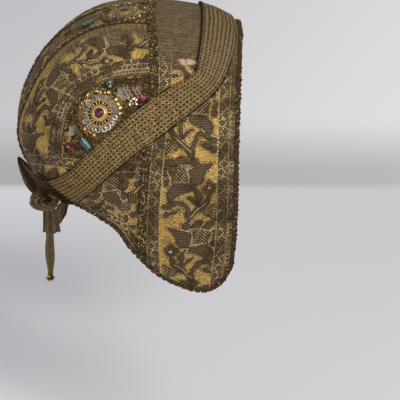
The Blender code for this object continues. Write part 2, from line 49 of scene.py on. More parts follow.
# The head form and the seam lines, as in the part. Degrees of the profile run from +X over the
# crown; degrees round run from the top of the head down its side, at one x.
HEAD_CENTRE = np.array([0.0, 0.0, -70.5])
HALF_WIDTH = 75.0
ROUNDNESS = 2.3
# Degrees of the profile, radius
PROFILE = np.array([
    (0, 125), (25, 105), (45, 80), (60, 76.5), (75, 73), (95, 72.5),
    (115, 74.5), (135, 74.5), (155, 74), (175, 74.5), (195, 67.5), (215, 63.5),
    (235, 78), (260, 105), (290, 140), (325, 135)], float)
CLOTH = 2.0
# The size of a panel's finest cells, and how many of them make one of its inner face
CELL = 0.5
COARSE = 4
# How far a panel stops short of a seam, of the edge and of a plain joint
SEAM_TRIM = 0.9
EDGE_TRIM = 1.1
JOINT_TRIM = 0.0
# Points along each side of a panel, and how far along its neighbours their sense is read
SEAM_POINTS = 300
NEIGHBOUR = 40
# Degrees round, x of the band's rear edge, x of its front edge
BAND_SECTIONS = np.array([
    (0, 0.8, 51.4), (10, 1.4, 50.8), (24, 2.7, 50.4), (35, 3.4, 50.0),
    (45, 3.5, 49.6), (54, 3.0, 49.2), (64, 1.4, 48.8), (74, -0.3, 48.4),
    (85, -1.5, 48.2), (96, -2.6, 48.1), (108, -3.3, 47.6), (119, -3.5, 46.8),
    (127, -3.0, 45.4), (135, -2.8, 43.5)], float)
# Share of the way from the rear edge to the front, degrees round where the flap ends
BAND_END = np.array([
    (0.0, 123.6), (0.1, 126.8), (0.2, 129.2), (0.35, 131.5), (0.5, 133.3),
    (0.68, 134.8), (0.82, 134.4), (0.93, 132.0), (1.0, 127.5)], float)
CROWN_START = 89.4
CROWN_END = 206.0
# Degrees of the profile, half width of the crown strip
CROWN_WIDTH = np.array([
    (89, 15.0), (100, 13.2), (115, 12.5), (130, 12.5), (145, 15.0), (165, 18.0),
    (185, 19.5), (210, 20.0)], float)
LOWER_START = 180.0
CROWN_CORNER = 11.9
# The seam lines of the right side: x, degrees round
BORDER_LINE = np.array([
    (3.5, 43.5), (-9.6, 44.2), (-19.4, 45.4), (-28.7, 47.6), (-34.8, 50.3),
    (-39.8, 54.5), (-42.7, 59.5), (-44.3, 65.6), (-45.3, 72.0), (-45.8, 78.8)], float)
LOWER_LINE = np.array([
    (-0.9, 78.4), (-16.0, 78.8), (-31.5, 79.0), (-45.8, 78.8), (-59.6, 80.4),
    (-68.9, 87.5)], float)
HEM_LINE = np.array([
    (-3.0, 123.6), (-8.5, 119.7), (-12.8, 115.3), (-17.1, 110.9), (-23.8, 108.7),
    (-31.0, 107.4), (-37.6, 106.6), (-44.0, 106.8), (-50.0, 110.5)], float)
GROUND_CORNER = (-34.8, 50.3)
# The ribbon on the head: x and degrees round of its front edge, then of its rear edge
RIBBON_SECTIONS = np.array([
    (48.1, 0, 29.8, 0), (47.2, 10.6, 29.6, 10), (45.2, 28.7, 29.0, 21.5),
    (42.2, 38.7, 27.4, 34), (37.2, 47.4, 25.4, 41.5), (28.0, 55.1, 14.9, 47.4),
    (21.2, 59.5, 8.0, 50.9), (13.3, 64.1, 1.3, 54.4), (4.9, 68.9, -6.0, 58.2),
    (-4.6, 73.7, -13.5, 63.0), (-13.7, 79.7, -22.5, 69.3),
    (-23.9, 87.5, -33.0, 77.2), (-32.9, 96.1, -43.8, 87.1)], float)
# The ribbon free of the head: a point of its front edge, then of its rear edge
RIBBON_FREE = np.array([
    (-41.4, -58.8, -87.6, -54.6, -52.3, -77.5),
    (-47.4, -42.8, -91.2, -60.0, -38.5, -84.8),
    (-53.4, -25.0, -100.4, -62.4, -22.0, -93.8),
    (-57.0, -4.0, -109.8, -62.7, -4.0, -108.4)], float)


def smooth_through(at, knots, values):
    """Read a smooth curve that passes through values at the knots."""
    slopes = np.gradient(values, knots, axis=0)
    i = np.clip(np.searchsorted(knots, at, side="right") - 1, 0, len(knots) - 2)
    step = knots[i + 1] - knots[i]
    f = (at - knots[i]) / step
    if values.ndim > 1:
        step = step[..., None]
        f = f[..., None]
    start = (2 * f ** 3 - 3 * f ** 2 + 1) * values[i] + (f ** 3 - 2 * f ** 2 + f) * step * slopes[i]
    end = (3 * f ** 2 - 2 * f ** 3) * values[i + 1] + (f ** 3 - f ** 2) * step * slopes[i + 1]
    return start + end


def curve(rows, count):
    """Evenly spread rows of a smooth curve through the rows of a table."""
    knots = np.arange(len(rows), dtype=float)
    return smooth_through(np.linspace(0, len(rows) - 1, count), knots, rows)


def read_table(table, at, column=1):
    """A smooth curve through one column of a table, by the table's first column."""
    return smooth_through(np.asarray(at, float), table[:, 0], table[:, column])


def profile_radius(degrees):
    turns = np.concatenate([PROFILE[:, 0] - 360, PROFILE[:, 0], PROFILE[:, 0] + 360])
    return smooth_through(np.mod(degrees, 360), turns, np.tile(PROFILE[:, 1], 3))


def unit(vectors):
    return vectors / np.maximum(np.linalg.norm(vectors, axis=-1, keepdims=True), 1e-9)


def head_size(points):
    """One on the cloth's outer face, less inside it and more outside."""
    d = points - HEAD_CENTRE
    degrees = np.degrees(np.arctan2(d[..., 2], d[..., 0]))
    side = np.abs(d[..., 1]) / HALF_WIDTH
    middle = np.hypot(d[..., 0], d[..., 2]) / profile_radius(degrees)
    return (side ** ROUNDNESS + middle ** ROUNDNESS) ** (1 / ROUNDNESS)


def head_normal(points):
    slopes = [head_size(points + axis) - head_size(points - axis) for axis in 0.05 * np.eye(3)]
    return unit(np.stack(slopes, -1))


def on_head(points):
    return HEAD_CENTRE + (points - HEAD_CENTRE) / head_size(points)[..., None]


def out_of_head(points):
    size = np.minimum(head_size(points), 1.0)
    return HEAD_CENTRE + (points - HEAD_CENTRE) / size[..., None]


def station(x, degrees):
    """Point of the right side at x, round from the top by some degrees."""
    x, degrees = np.broadcast_arrays(np.asarray(x, float), np.asarray(degrees, float))
    turn = np.radians(degrees)
    ray = np.stack([0 * x, -np.sin(turn), np.cos(turn)], -1)
    start = np.stack([x, 0 * x, 0 * x + HEAD_CENTRE[2]], -1)
    low = np.zeros(x.shape)
    high = np.full(x.shape, 160.0)
    for _ in range(40):
        middle = (low + high) / 2
        inside = head_size(start + middle[..., None] * ray) < 1
        low = np.where(inside, middle, low)
        high = np.where(inside, high, middle)
    return start + low[..., None] * ray


def arch(degrees, y):
    """Point of the cloth above the profile angle, y to the side."""
    degrees, y = np.broadcast_arrays(np.asarray(degrees, float), np.asarray(y, float))
    radius = profile_radius(degrees) * (1 - (np.abs(y) / HALF_WIDTH) ** ROUNDNESS) ** (1 / ROUNDNESS)
    turn = np.radians(degrees)
    return HEAD_CENTRE + np.stack([radius * np.cos(turn), y, radius * np.sin(turn)], -1)


def mirrored(points):
    return points * np.array([1.0, -1.0, 1.0])


def lengths(points):
    """Distance along a line of points, from its start."""
    return np.concatenate([[0], np.cumsum(np.linalg.norm(np.diff(points, axis=0), axis=1))])


def read_at(run, values, at):
    """Vectors given at the distances of a run, read at other distances."""
    return np.stack([np.interp(at, run, values[:, k]) for k in range(3)], -1)


def read_line(points, at):
    return read_at(lengths(points), points, at)


def evenly(points, count):
    return read_line(points, np.linspace(0, lengths(points)[-1], count))


def smooth_line(points, count):
    return evenly(curve(points, 200), count)


def patch(first, last, starts, ends):
    """Grid spanned by four lines that meet at its corners, laid on the head."""
    u = np.linspace(0, 1, len(starts))[:, None, None]
    v = np.linspace(0, 1, len(first))[None, :, None]
    along = (1 - u) * first[None] + u * last[None]
    across = (1 - v) * starts[:, None] + v * ends[:, None]
    corners = ((1 - u) * (1 - v) * first[0] + (1 - u) * v * first[-1]
               + u * (1 - v) * last[0] + u * v * last[-1])
    return on_head(along + across - corners)


def inward_copy(line, distance, before, after):
    """The line moved sideways over the cloth, to the side where its neighbours lie."""
    side = unit(np.cross(head_normal(line), np.gradient(line, axis=0)))
    sense = np.sign(side[0] @ (before[-NEIGHBOUR] - before[-1]) + side[-1] @ (after[NEIGHBOUR] - after[0]))
    return on_head(line + sense * distance * side)


def join_corner(before, after):
    """Cut two lines where the end of one comes nearest the start of the next."""
    tail = len(before) // 2
    head = len(after) // 2
    apart = np.linalg.norm(before[tail:, None] - after[None, :head], axis=-1)
    i, j = np.unravel_index(np.argmin(apart), apart.shape)
    corner = (before[tail + i] + after[j]) / 2
    return np.vstack([before[:tail + i], corner]), np.vstack([corner, after[j + 1:]])


def panel(first, last, starts, ends, trims, columns, rows):
    """Grid of one cloth panel, set back from each of its four seam lines."""
    lines = [evenly(line, SEAM_POINTS) for line in (first, ends, last[::-1], starts[::-1])]
    lines = [inward_copy(lines[k], trims[k], lines[k - 1], lines[(k + 1) % 4]) for k in range(4)]
    for k in range(4):
        lines[k], lines[(k + 1) % 4] = join_corner(lines[k], lines[(k + 1) % 4])
    first, ends, last, starts = lines
    across = evenly(first, columns), evenly(last[::-1], columns)
    along = evenly(starts[::-1], rows), evenly(ends, rows)
    return patch(*across, *along)


def band_x(degrees, column):
    return read_table(BAND_SECTIONS, degrees, column)


def band_bottom(count):
    share = np.linspace(0, 1, count)
    degrees = read_table(BAND_END, share)
    return station(band_x(degrees, 1) * (1 - share) + band_x(degrees, 2) * share, degrees)


def band_line(column, start, end, count):
    """The rear edge of the band, column 1, or its front edge, column 2."""
    degrees = np.linspace(start, end, count)
    return station(band_x(degrees, column), degrees)


def crown_seam(start, end, count):
    degrees = np.linspace(start, end, count)
    return arch(degrees, -read_table(CROWN_WIDTH, degrees))


def drawn_line(table, count, seam_end=None):
    """A line through the places of a table, and on to the crown's seam at some angle."""
    points = station(*table.T)
    if seam_end:
        points = np.concatenate([points, crown_seam(seam_end, seam_end, 1)])
    return on_head(smooth_line(points, count))


def hem_line(count):
    return drawn_line(HEM_LINE, count, CROWN_END)


def edge_loop(count):
    """The whole opening: up one cheek, over the top and round the nape."""
    nape = arch(CROWN_END, -np.linspace(read_table(CROWN_WIDTH, CROWN_END), 0, 8))
    front = band_line(2, 0, BAND_END[-1, 1], 60)
    right = np.concatenate([front, band_bottom(30)[::-1][1:], hem_line(60)[1:], nape[1:]])
    right = evenly(right, count // 2 + 1)
    return np.concatenate([right, mirrored(right[1:-1])[::-1]])


def seat_on_head(point):
    """Placing matrix, in millimetres, with +Z square to the cloth."""
    normal = Vector(head_normal(point))
    side = Vector((1, 0, 0)).cross(normal).normalized()
    forward = normal.cross(side)
    turn = Matrix((forward, -side, normal)).transposed()
    return Matrix.Translation(Vector(point)) @ turn.to_4x4()


def ripple(points, size, seed):
    """Smooth uneven waves of about one unit, the same in each run."""
    chance = np.random.default_rng(seed)
    total = np.zeros(points.shape[:-1])
    for _ in range(7):
        way = chance.normal(size=3)
        way *= 2 * math.pi / (size * chance.uniform(0.7, 1.6) * np.linalg.norm(way))
        total += np.sin(points @ way + chance.uniform(0, 2 * math.pi))
    return total / 3.5


def smoothstep(low, high, value):
    t = np.clip((value - low) / (high - low), 0, 1)
    return t * t * (3 - 2 * t)


# Making meshes


def add_object(name, data):
    made = bpy.data.objects.new(name, data)
    bpy.context.scene.collection.objects.link(made)
    return made


def add_mesh(name, points, faces, materials, slot, node, attributes, sides=None):
    """One mesh object from points in millimetres, which rides on the part.

    slot is not used; node is the CAD piece that it stands for, attributes the values of
    its points, and sides the material of each face.
    """
    mesh = bpy.data.meshes.new(name)
    points = np.asarray(points).reshape(-1, 3)
    mesh.from_pydata((points * MM).tolist(), [], [list(map(int, face)) for face in faces])
    for material in materials:
        mesh.materials.append(material)
    if sides is not None:
        mesh.polygons.foreach_set("material_index", np.asarray(sides, np.int32))
    for key, values in attributes.items():
        vectors = values.size == 3 * len(points)
        layer = mesh.attributes.new(key, "FLOAT_VECTOR" if vectors else "FLOAT", "POINT")
        values = np.ascontiguousarray(values, np.float32).ravel()
        layer.data.foreach_set("vector" if vectors else "value", values)
    mesh.shade_smooth()
    made = add_object(name, mesh)
    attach(made, "root")
    if node:
        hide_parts(node)


def grid_faces(rows, columns, offset=0, flip=False, closed=False):
    """Quads of a grid; closed joins its last column to its first."""
    i, j = np.meshgrid(np.arange(rows - 1), np.arange(columns if closed else columns - 1), indexing="ij")
    k = (j + 1) % columns
    quads = np.stack([i * columns + j, i * columns + k, (i + 1) * columns + k, (i + 1) * columns + j], -1)
    quads = quads.reshape(-1, 4) + offset
    return quads[:, ::-1] if flip else quads


def lidded_faces(rows, columns):
    """Faces of a grid closed round, with a lid over its first row and its last."""
    lid = np.arange(columns)
    quads = grid_faces(rows, columns, closed=True)
    return [*quads.tolist(), lid[::-1].tolist(), (lid + (rows - 1) * columns).tolist()]


class Bundle:
    """Many small shapes gathered into one mesh, each with its own tone."""

    def __init__(self):
        self.points = []
        self.faces = []
        self.tone = []
        self.count = 0

    def add(self, points, faces, tone):
        points = points.reshape(-1, 3)
        self.points.append(points)
        self.faces.extend([[int(v) + self.count for v in face] for face in faces])
        self.tone.append(np.full(len(points), tone))
        self.count += len(points)

    def tube(self, line, radius, up, tone=0.5, sides=4):
        """A round thread along a line, with up the direction out of the cloth."""
        ahead = unit(np.gradient(line, axis=0))
        across = unit(np.cross(ahead, up))
        over = np.cross(across, ahead)
        turn = 2 * math.pi * (np.arange(sides) + 0.5)[:, None] / sides
        ring = across[:, None] * np.cos(turn) + over[:, None] * np.sin(turn)
        self.add(line[:, None] + radius * ring, lidded_faces(len(line), sides), tone)

    def bend(self, spots, count, radius, up, tone, sides=4):
        """A short thread bent smoothly through a few places."""
        self.tube(smooth_line(np.array(spots, float), count), radius, up, tone, sides)

    def put(self, shape, at=(0, 0, 0), spin=0.0, tilt=0.0, size=1.0, tone=0.5):
        """A small shape, tilted about Y, turned about Z and moved."""
        points, faces = shape
        turn = Matrix.Rotation(spin, 3, "Z") @ Matrix.Rotation(tilt, 3, "Y")
        self.add(points * size @ np.array(turn).T + np.array(at, float), faces, tone)

    def build(self, name, material, slot, node=None, place=None, mirror=False):
        """One object; place lays its points on the head there, and mirror makes the left side's."""
        points = np.concatenate(self.points)
        if place is not None:
            points = drape(place, points)
        faces = self.faces
        if mirror:
            points = mirrored(points)
            faces = [face[::-1] for face in faces]
        add_mesh(name, points, faces, [material], slot, node, {"tone": np.concatenate(self.tone)})


def drape(place, points):
    """Points of a flat piece, laid on the curved cloth round its placing matrix."""
    matrix = np.array(place)
    flat = (points * np.array([1.0, 1.0, 0.0])) @ matrix[:3, :3].T + matrix[:3, 3]
    seat = on_head(flat)
    return seat + points[..., 2:] * head_normal(seat)


def turned(outline, sides):
    """A shape turned round Z from rows of radius and height."""
    turn = 2 * math.pi * np.arange(sides) / sides
    radius, height = np.array(outline, float).T[..., None]
    points = np.stack([radius * np.cos(turn), radius * np.sin(turn), height + 0 * turn], -1)
    return points.reshape(-1, 3), grid_faces(len(outline), sides, closed=True)


def ball(radius, rings, sides):
    angle = np.linspace(math.pi * 0.98, math.pi * 0.02, rings + 1)
    return turned(np.stack([radius * np.sin(angle), radius * np.cos(angle)], -1), sides)


def wire_ring(radius, wire, around, sides):
    turn = 2 * math.pi * np.arange(sides + 1) / sides
    return turned(np.stack([radius + wire * np.cos(turn), wire * np.sin(turn)], -1), around)


# Materials


class Look:
    """Builds one procedural material, node by node."""

    def __init__(self, name):
        self.material = bpy.data.materials.new(name)
        self.material.use_nodes = True
        self.tree = self.material.node_tree
        self.shader = self.tree.nodes["Principled BSDF"]

    def link(self, value, socket):
        """Join a socket to a node's output, or set its number or colour."""
        if isinstance(value, bpy.types.NodeSocket):
            self.tree.links.new(value, socket)
        else:
            if isinstance(value, tuple) and socket.type == "RGBA":
                value = (*value, 1.0)
            socket.default_value = value

    def node(self, kind, **inputs):
        """A new node; an underscore in an input's name here stands for its space."""
        made = self.tree.nodes.new("ShaderNode" + kind)
        for name, value in inputs.items():
            self.link(value, made.inputs[name.replace("_", " ")])
        return made

    def attribute(self, name):
        made = self.node("Attribute")
        made.attribute_name = name
        return made.outputs

    def field(self, name):
        return self.attribute(name)["Fac"]

    def position(self):
        return self.node("NewGeometry").outputs["Position"]

    def axes(self, vector):
        return self.node("SeparateXYZ", Vector=vector).outputs

    def weave(self):
        """The place on the cloth in millimetres, whole and as its distances across and along."""
        flat = self.attribute("weave")["Vector"]
        across, along, _ = self.axes(flat)
        return flat, across, along

    def math(self, operation, *values):
        made = self.node("Math")
        made.operation = operation
        for value, socket in zip(values, made.inputs):
            self.link(value, socket)
        return made.outputs[0]

    def times(self, a, b):
        return self.math("MULTIPLY", a, b)

    def plus(self, a, b, share=None):
        """a and b added, with a first multiplied by a share if there is one."""
        return self.math("ADD", a, b) if share is None else self.math("MULTIPLY_ADD", a, share, b)

    def apart(self, value, middle):
        return self.math("ABSOLUTE", self.math("SUBTRACT", value, middle))

    def wave(self, value, pitch):
        """From 0 to 1 and back over each pitch."""
        return self.plus(self.math("SINE", self.plus(value, 0.0, 2 * math.pi / pitch)), 0.5, 0.5)

    def step(self, value, low, high, out_low=0.0, out_high=1.0):
        """A soft step from out_low where the value is at low to out_high where it is at high."""
        if low > high:
            low, high, out_low, out_high = high, low, out_high, out_low
        made = self.node(
            "MapRange", Value=value, From_Min=low, From_Max=high, To_Min=out_low, To_Max=out_high)
        made.interpolation_type = "SMOOTHSTEP"
        return made.outputs["Result"]

    def mix(self, share, a, b):
        made = self.node("Mix")
        made.data_type = "RGBA"
        for k, value in ((0, share), (6, a), (7, b)):
            self.link(value, made.inputs[k])
        return made.outputs[2]

    def paint(self, base, *coats):
        """Colours laid over a base: a value, its low and high, the share at high, the colour."""
        for value, low, high, share, colour in coats:
            base = self.mix(self.step(value, low, high, 0.0, share), base, colour)
        return base

    def noise(self, scale, vector=None, detail=3.0, roughness=0.55):
        """Noise whose scale is in bumps per metre, or per unit of the vector."""
        vector = vector or self.position()
        made = self.node("TexNoise", Vector=vector, Scale=scale, Detail=detail, Roughness=roughness)
        return made.outputs["Fac"]

    def stretched(self, vector, across, along):
        """The vector scaled by its two directions, for noise drawn out into dashes."""
        made = self.node("VectorMath")
        made.operation = "MULTIPLY"
        self.link(vector, made.inputs[0])
        made.inputs[1].default_value = (across, along, 1.0)
        return made.outputs[0]

    def bump(self, height, distance_mm, strength=1.0):
        made = self.node("Bump", Strength=strength, Distance=distance_mm * MM, Height=height)
        self.link(made.outputs["Normal"], self.shader.inputs["Normal"])

    def finish(self, colour, roughness, metallic=0.0, specular=0.5):
        self.link(colour, self.shader.inputs["Base Color"])
        self.link(roughness, self.shader.inputs["Roughness"])
        self.shader.inputs["Metallic"].default_value = metallic
        self.shader.inputs["Specular IOR Level"].default_value = specular
        return self.material


def tint(red, green, blue):
    """A colour read as the eye sees it, 0 to 255, made linear."""
    return tuple(((v / 255 + 0.055) / 1.055) ** 2.4 if v > 10 else v / 3295 for v in (red, green, blue))


GOLD_BRIGHT = tint(220, 182, 108)
GOLD_GROUND = tint(178, 144, 80)
GOLD_SHADE = tint(124, 95, 48)
GOLD_RED = tint(186, 134, 66)
OUTLINE = tint(54, 42, 32)
FIGURE_DARK = tint(70, 56, 39)
FIGURE_LIGHT = tint(118, 99, 73)
PALE_THREAD = tint(216, 190, 140)
DULL_THREAD = tint(124, 100, 62)
BORDER_DARK = tint(68, 55, 38)
BORDER_LIGHT = tint(122, 99, 62)
WORN_DARK = tint(72, 59, 42)
WORN_LIGHT = tint(108, 91, 67)
WORN_PALE = tint(136, 117, 88)
MUSTARD = tint(118, 94, 48)
FRAYED = tint(190, 160, 136)
# Soil, and also the colour of the painted shade under the tie ribbon and over the lower and rear parts
SOIL_AND_SHADE = tint(28, 21, 12)


def brocade_look():
    """Gold ground, dark ribbed figures with pale outlines, worn and soiled in places, with painted shade
    under the tie ribbon and over the lower and rear parts.
    """
    look = Look("brocade")
    step, mix, times, plus, paint = look.step, look.mix, look.times, look.plus, look.paint
    flat, across, along = look.weave()
    rib = look.wave(along, 1.25)
    cloud = look.noise(90.0)
    mottle = look.noise(300.0, detail=4.0, roughness=0.65)
    grain = look.noise(1.05, flat, detail=2.0)
    fleck = look.noise(0.62, look.stretched(flat, 1.0, 1.7), roughness=0.7)
    dash = look.noise(0.5, look.stretched(flat, 1.0, 3.2), detail=2.0)
    rag = plus(grain, -0.65, 1.3)
    figure = plus(look.field("figure"), rag)

    # The gold ground, and the darker ground of the borders
    cloth = times(look.wave(across, 0.62), look.wave(along, 0.7))
    ground = mix(step(cloth, 0.0, 0.45, 0.35, 1.0), GOLD_SHADE, GOLD_GROUND)
    ground = paint(
        ground, (dash, 0.46, 0.62, 0.9, GOLD_BRIGHT), (mottle, 0.46, 0.34, 0.6, GOLD_RED),
        (mottle, 0.52, 0.68, 0.7, GOLD_SHADE), (fleck, 0.58, 0.64, 0.9, OUTLINE))
    ground = mix(look.field("border"), ground, mix(step(dash, 0.42, 0.6), BORDER_DARK, BORDER_LIGHT))
    rim = times(step(figure, 1.15, 0.75), step(grain, 0.38, 0.54, 0.5, 1.0))
    ground = mix(rim, ground, OUTLINE)

    # The ribbed figures with a broken pale line inside their edges
    ribbed = paint(
        FIGURE_DARK, (rib, 0.3, 0.95, 0.75, FIGURE_LIGHT), (grain, 0.46, 0.64, 0.5, FIGURE_DARK),
        (fleck, 0.42, 0.36, 0.85, DULL_THREAD), (figure, -0.75, -0.35, 0.8, OUTLINE))
    base = mix(step(figure, 0.1, -0.1), ground, ribbed)
    bead = look.wave(plus(across, times(along, 0.8)), 1.35)
    pale = mix(step(plus(fleck, bead, 1.4), 0.75, 1.45), DULL_THREAD, PALE_THREAD)
    edge = times(step(look.apart(figure, 0.3), 0.32, 0.16), step(cloud, 0.42, 0.56, 0.9, 0.1))
    base = mix(edge, base, pale)

    # Nets inside some figures, single pale lines, and soil
    slant = plus(rag, along, 0.7)
    dots = times(look.wave(plus(across, slant), 2.0), look.wave(look.math("SUBTRACT", across, slant), 2.0))
    within = step(look.field("net"), 0.05, -0.2)
    base = mix(times(within, 0.5), base, OUTLINE)
    base = mix(times(step(dots, 0.3, 0.62), times(within, 0.8)), base, pale)
    line = step(plus(look.field("thread"), times(rag, 0.45)), 0.14, -0.06)
    base = mix(times(line, step(mottle, 0.36, 0.56, 0.95, 0.45)), base, pale)
    base = paint(base, (cloud, 0.48, 0.68, 0.45, SOIL_AND_SHADE), (fleck, 0.46, 0.34, 0.5, SOIL_AND_SHADE))

    # Cloth worn down to its bare threads
    coarse = look.wave(plus(mottle, along, 1.6), 2.7)
    bare = paint(
        WORN_DARK, (plus(rib, coarse, 0.35), 0.2, 1.1, 1.0, WORN_LIGHT), (figure, 0.2, -0.2, 0.5, WORN_DARK),
        (dash, 0.48, 0.6, 0.5, WORN_PALE), (mottle, 0.46, 0.64, 0.5, WORN_DARK),
        (cloud, 0.52, 0.64, 0.55, MUSTARD))
    base = mix(look.field("worn"), base, bare)
    base = mix(times(look.field("frayed"), step(dash, 0.36, 0.5)), base, FRAYED)
    # Painted shade under the tie ribbon
    base = mix(times(look.field("shade_under_ribbon"), 0.8), base, SOIL_AND_SHADE)
    # Painted shade that darkens the lower and rear parts
    base = mix(look.field("painted_shade"), base, SOIL_AND_SHADE)
    look.bump(plus(grain, plus(cloth, times(rib, 0.5), 0.3), 1.0), 0.35)
    return look.finish(base, step(mottle, 0.3, 0.7, 0.5, 0.7), specular=0.06)


def ground_look():
    """Dark brown net of loops under the side medallions, full of gold and pale thread ends."""
    look = Look("medallion_ground")
    flat, across, along = look.weave()
    cross = look.times(look.wave(across, 1.3), look.wave(along, 1.2))
    mottle = look.noise(420.0, detail=4.0, roughness=0.7)
    curl = look.noise(0.55, flat, detail=1.0)
    loops = look.step(look.apart(curl, 0.5), 0.035, 0.012)
    speck = look.noise(0.9, flat, detail=2.0)
    base = look.paint(
        tint(34, 25, 15), (cross, 0.0, 0.6, 1.0, tint(70, 54, 34)),
        (mottle, 0.48, 0.62, 0.8, tint(112, 86, 46)))
    base = look.mix(look.times(loops, 0.75), base, tint(136, 108, 62))
    base = look.paint(
        base, (speck, 0.62, 0.68, 0.9, tint(176, 152, 116)), (speck, 0.42, 0.34, 1.0, tint(26, 18, 11)))
    look.bump(look.plus(mottle, look.plus(cross, loops), 0.8), 0.4)
    return look.finish(base, 0.6, 0.1, 0.1)


def lining_look():
    look = Look("lining")
    base = look.paint(tint(122, 104, 78), (look.noise(90.0), 0.35, 0.7, 1.0, tint(148, 130, 100)))
    look.bump(look.noise(1500.0, detail=1.0), 0.15, 0.6)
    look.shader.inputs["Sheen Weight"].default_value = 0.2
    return look.finish(base, 0.85)


def ribbon_look():
    """Olive-gold cords of metal thread with painted shade in the grooves and in shaded places, pale painted
    glints, and a painted sheen that greys the top.
    """
    look = Look("ribbon")
    flat, across, along = look.weave()
    mottle = look.noise(260.0, detail=4.0)
    grain = look.noise(1.2, look.stretched(flat, 1.3, 0.9), detail=2.0)
    twist = look.wave(look.plus(along, look.times(across, 0.8)), 1.2)
    # Painted sheen: the cords turn greyer towards the top, where glancing light catches them
    base = look.paint(
        tint(98, 80, 48), (mottle, 0.34, 0.66, 1.0, tint(134, 112, 74)),
        (look.noise(70.0), 0.44, 0.66, 0.45, tint(114, 92, 46)), (along, 75.0, 35.0, 0.5, tint(122, 109, 90)))
    base = look.mix(look.times(twist, 0.35), base, tint(70, 56, 34))
    # Pale and dark grain, then painted shade in the grooves between the cords
    base = look.paint(
        base, (grain, 0.52, 0.66, 0.8, tint(164, 138, 96)), (grain, 0.46, 0.34, 0.7, tint(50, 37, 18)),
        (look.field("groove_shade"), 0.3, 1.0, 0.85, tint(40, 30, 15)))
    glint = look.times(look.step(grain, 0.6, 0.68), look.field("glint"))
    base = look.mix(look.times(glint, 0.8), base, tint(222, 186, 146))
    base = look.mix(look.field("shade"), base, tint(30, 20, 10))
    look.bump(look.plus(twist, grain, 0.6), 0.3, 0.8)
    return look.finish(base, 0.6, specular=0.0)


def thread_look(name, dark, light, roughness, metallic, specular=0.5):
    """Twisted or beaten metal whose tone varies from piece to piece."""
    look = Look(name)
    speck = look.noise(1400.0, detail=2.0)
    share = look.plus(speck, look.math("SUBTRACT", look.field("tone"), 0.4), 0.8)
    base = look.paint(tint(*dark), (share, 0.1, 0.9, 1.0, tint(*light)))
    look.bump(speck, 0.08, 0.6)
    return look.finish(base, roughness, metallic, specular)


def garnet_look():
    look = Look("garnet")
    base = look.paint(tint(24, 7, 10), (look.noise(420.0), 0.36, 0.64, 1.0, tint(84, 24, 38)))
    look.shader.inputs["Coat Weight"].default_value = 0.15
    return look.finish(base, 0.16, specular=0.3)


BROCADE = brocade_look()
GROUND = ground_look()
LINING = lining_look()
RIBBON = ribbon_look()
GARNET = garnet_look()
GIMP = thread_look("gimp", (44, 33, 22), (98, 80, 54), 0.6, 0.0, 0.06)
GIMP_LIGHT = thread_look("gimp_light", (84, 68, 44), (182, 156, 108), 0.6, 0.0, 0.05)
GOLD = thread_look("gold", (104, 74, 28), (242, 208, 128), 0.28, 0.6)
AMBER = thread_look("amber_thread", (92, 66, 28), (176, 134, 66), 0.4, 0.4)
BEZEL_GOLD = thread_look("bezel_gold", (120, 92, 46), (214, 176, 110), 0.38, 0.45)
SILVER = thread_look("silver_thread", (128, 114, 98), (238, 228, 216), 0.26, 0.55)
GAUZE = thread_look("gauze", (92, 78, 56), (186, 168, 136), 0.5, 0.2)
BRONZE = thread_look("bronze_thread", (74, 58, 32), (160, 130, 78), 0.45, 0.3)
PETAL = thread_look("petal_gauze", (78, 66, 50), (140, 126, 102), 0.5, 0.2)
MAGENTA = thread_look("magenta_foil", (40, 8, 24), (176, 66, 108), 0.3, 0.3)
TEAL = thread_look("teal_foil", (28, 56, 50), (108, 146, 130), 0.38, 0.2)
RED = thread_look("red_bead", (50, 8, 12), (160, 44, 56), 0.25, 0.0)
IVORY = thread_look("ivory_sequin", (128, 106, 66), (248, 236, 196), 0.24, 0.3)
SILK = thread_look("silk", (88, 66, 44), (188, 156, 126), 0.5, 0.1)


# The woven figures: a repeat in millimetres, across from the middle and down the strip

REPEAT = 38.5
# across, down, half size across, half size down, turn
OVALS = (
    (-10.3, 4.2, 3.0, 2.3, 25), (-4.0, 3.2, 2.9, 2.0, 0), (2.2, 3.8, 2.5, 2.2, 0),
    (-13.3, 9.5, 1.6, 2.6, 0), (-13.3, 15.6, 1.5, 1.8, 0),
    (-13.4, 30.5, 1.7, 1.7, 0), (-9.2, 33.5, 2.6, 1.3, -25), (-13.0, 35.2, 1.8, 2.0, 0),
    (8.3, 19.3, 1.5, 1.3, 0), (10.4, 17.0, 1.3, 1.5, 0), (12.9, 18.6, 1.5, 1.3, 20),
    (12.0, 21.2, 1.3, 1.4, 0), (9.4, 21.6, 1.3, 1.2, 0),
    (-7.0, 5.5, 0.8, 0.8, 0), (-0.9, 4.6, 0.8, 0.8, 0),
)
# Chains of across, down, half width
STEMS = (
    ((-12.3, 30.8, 1.0), (-10.5, 28.7, 1.1), (-7.0, 27.3, 1.3), (-3.8, 28.6, 1.3),
     (-2.0, 31.4, 1.2), (-1.2, 35.0, 1.3), (-0.6, 39.0, 1.2)),
    ((-0.8, 37.5, 1.4), (4.0, 32.6, 1.3), (9.0, 28.0, 1.1), (10.5, 24.4, 1.0), (10.6, 21.5, 0.7)),
    ((2.0, 18.6, 0.5), (4.4, 21.5, 1.3), (5.0, 24.6, 1.5), (4.6, 28.5, 0.5)),
    ((-1.2, 24.8, 0.5), (1.6, 26.6, 1.0), (4.6, 29.8, 0.6)),
    ((2.2, 35.0, 0.6), (4.6, 33.9, 0.9), (6.8, 33.3, 0.5)),
)
WING = ((-0.8, 8.4), (3.0, 6.6), (8.0, 5.2), (13.4, 4.8), (11.2, 6.8), (8.8, 10.0), (7.4, 14.0),
        (5.2, 17.4), (1.4, 17.6), (-0.7, 14.0))
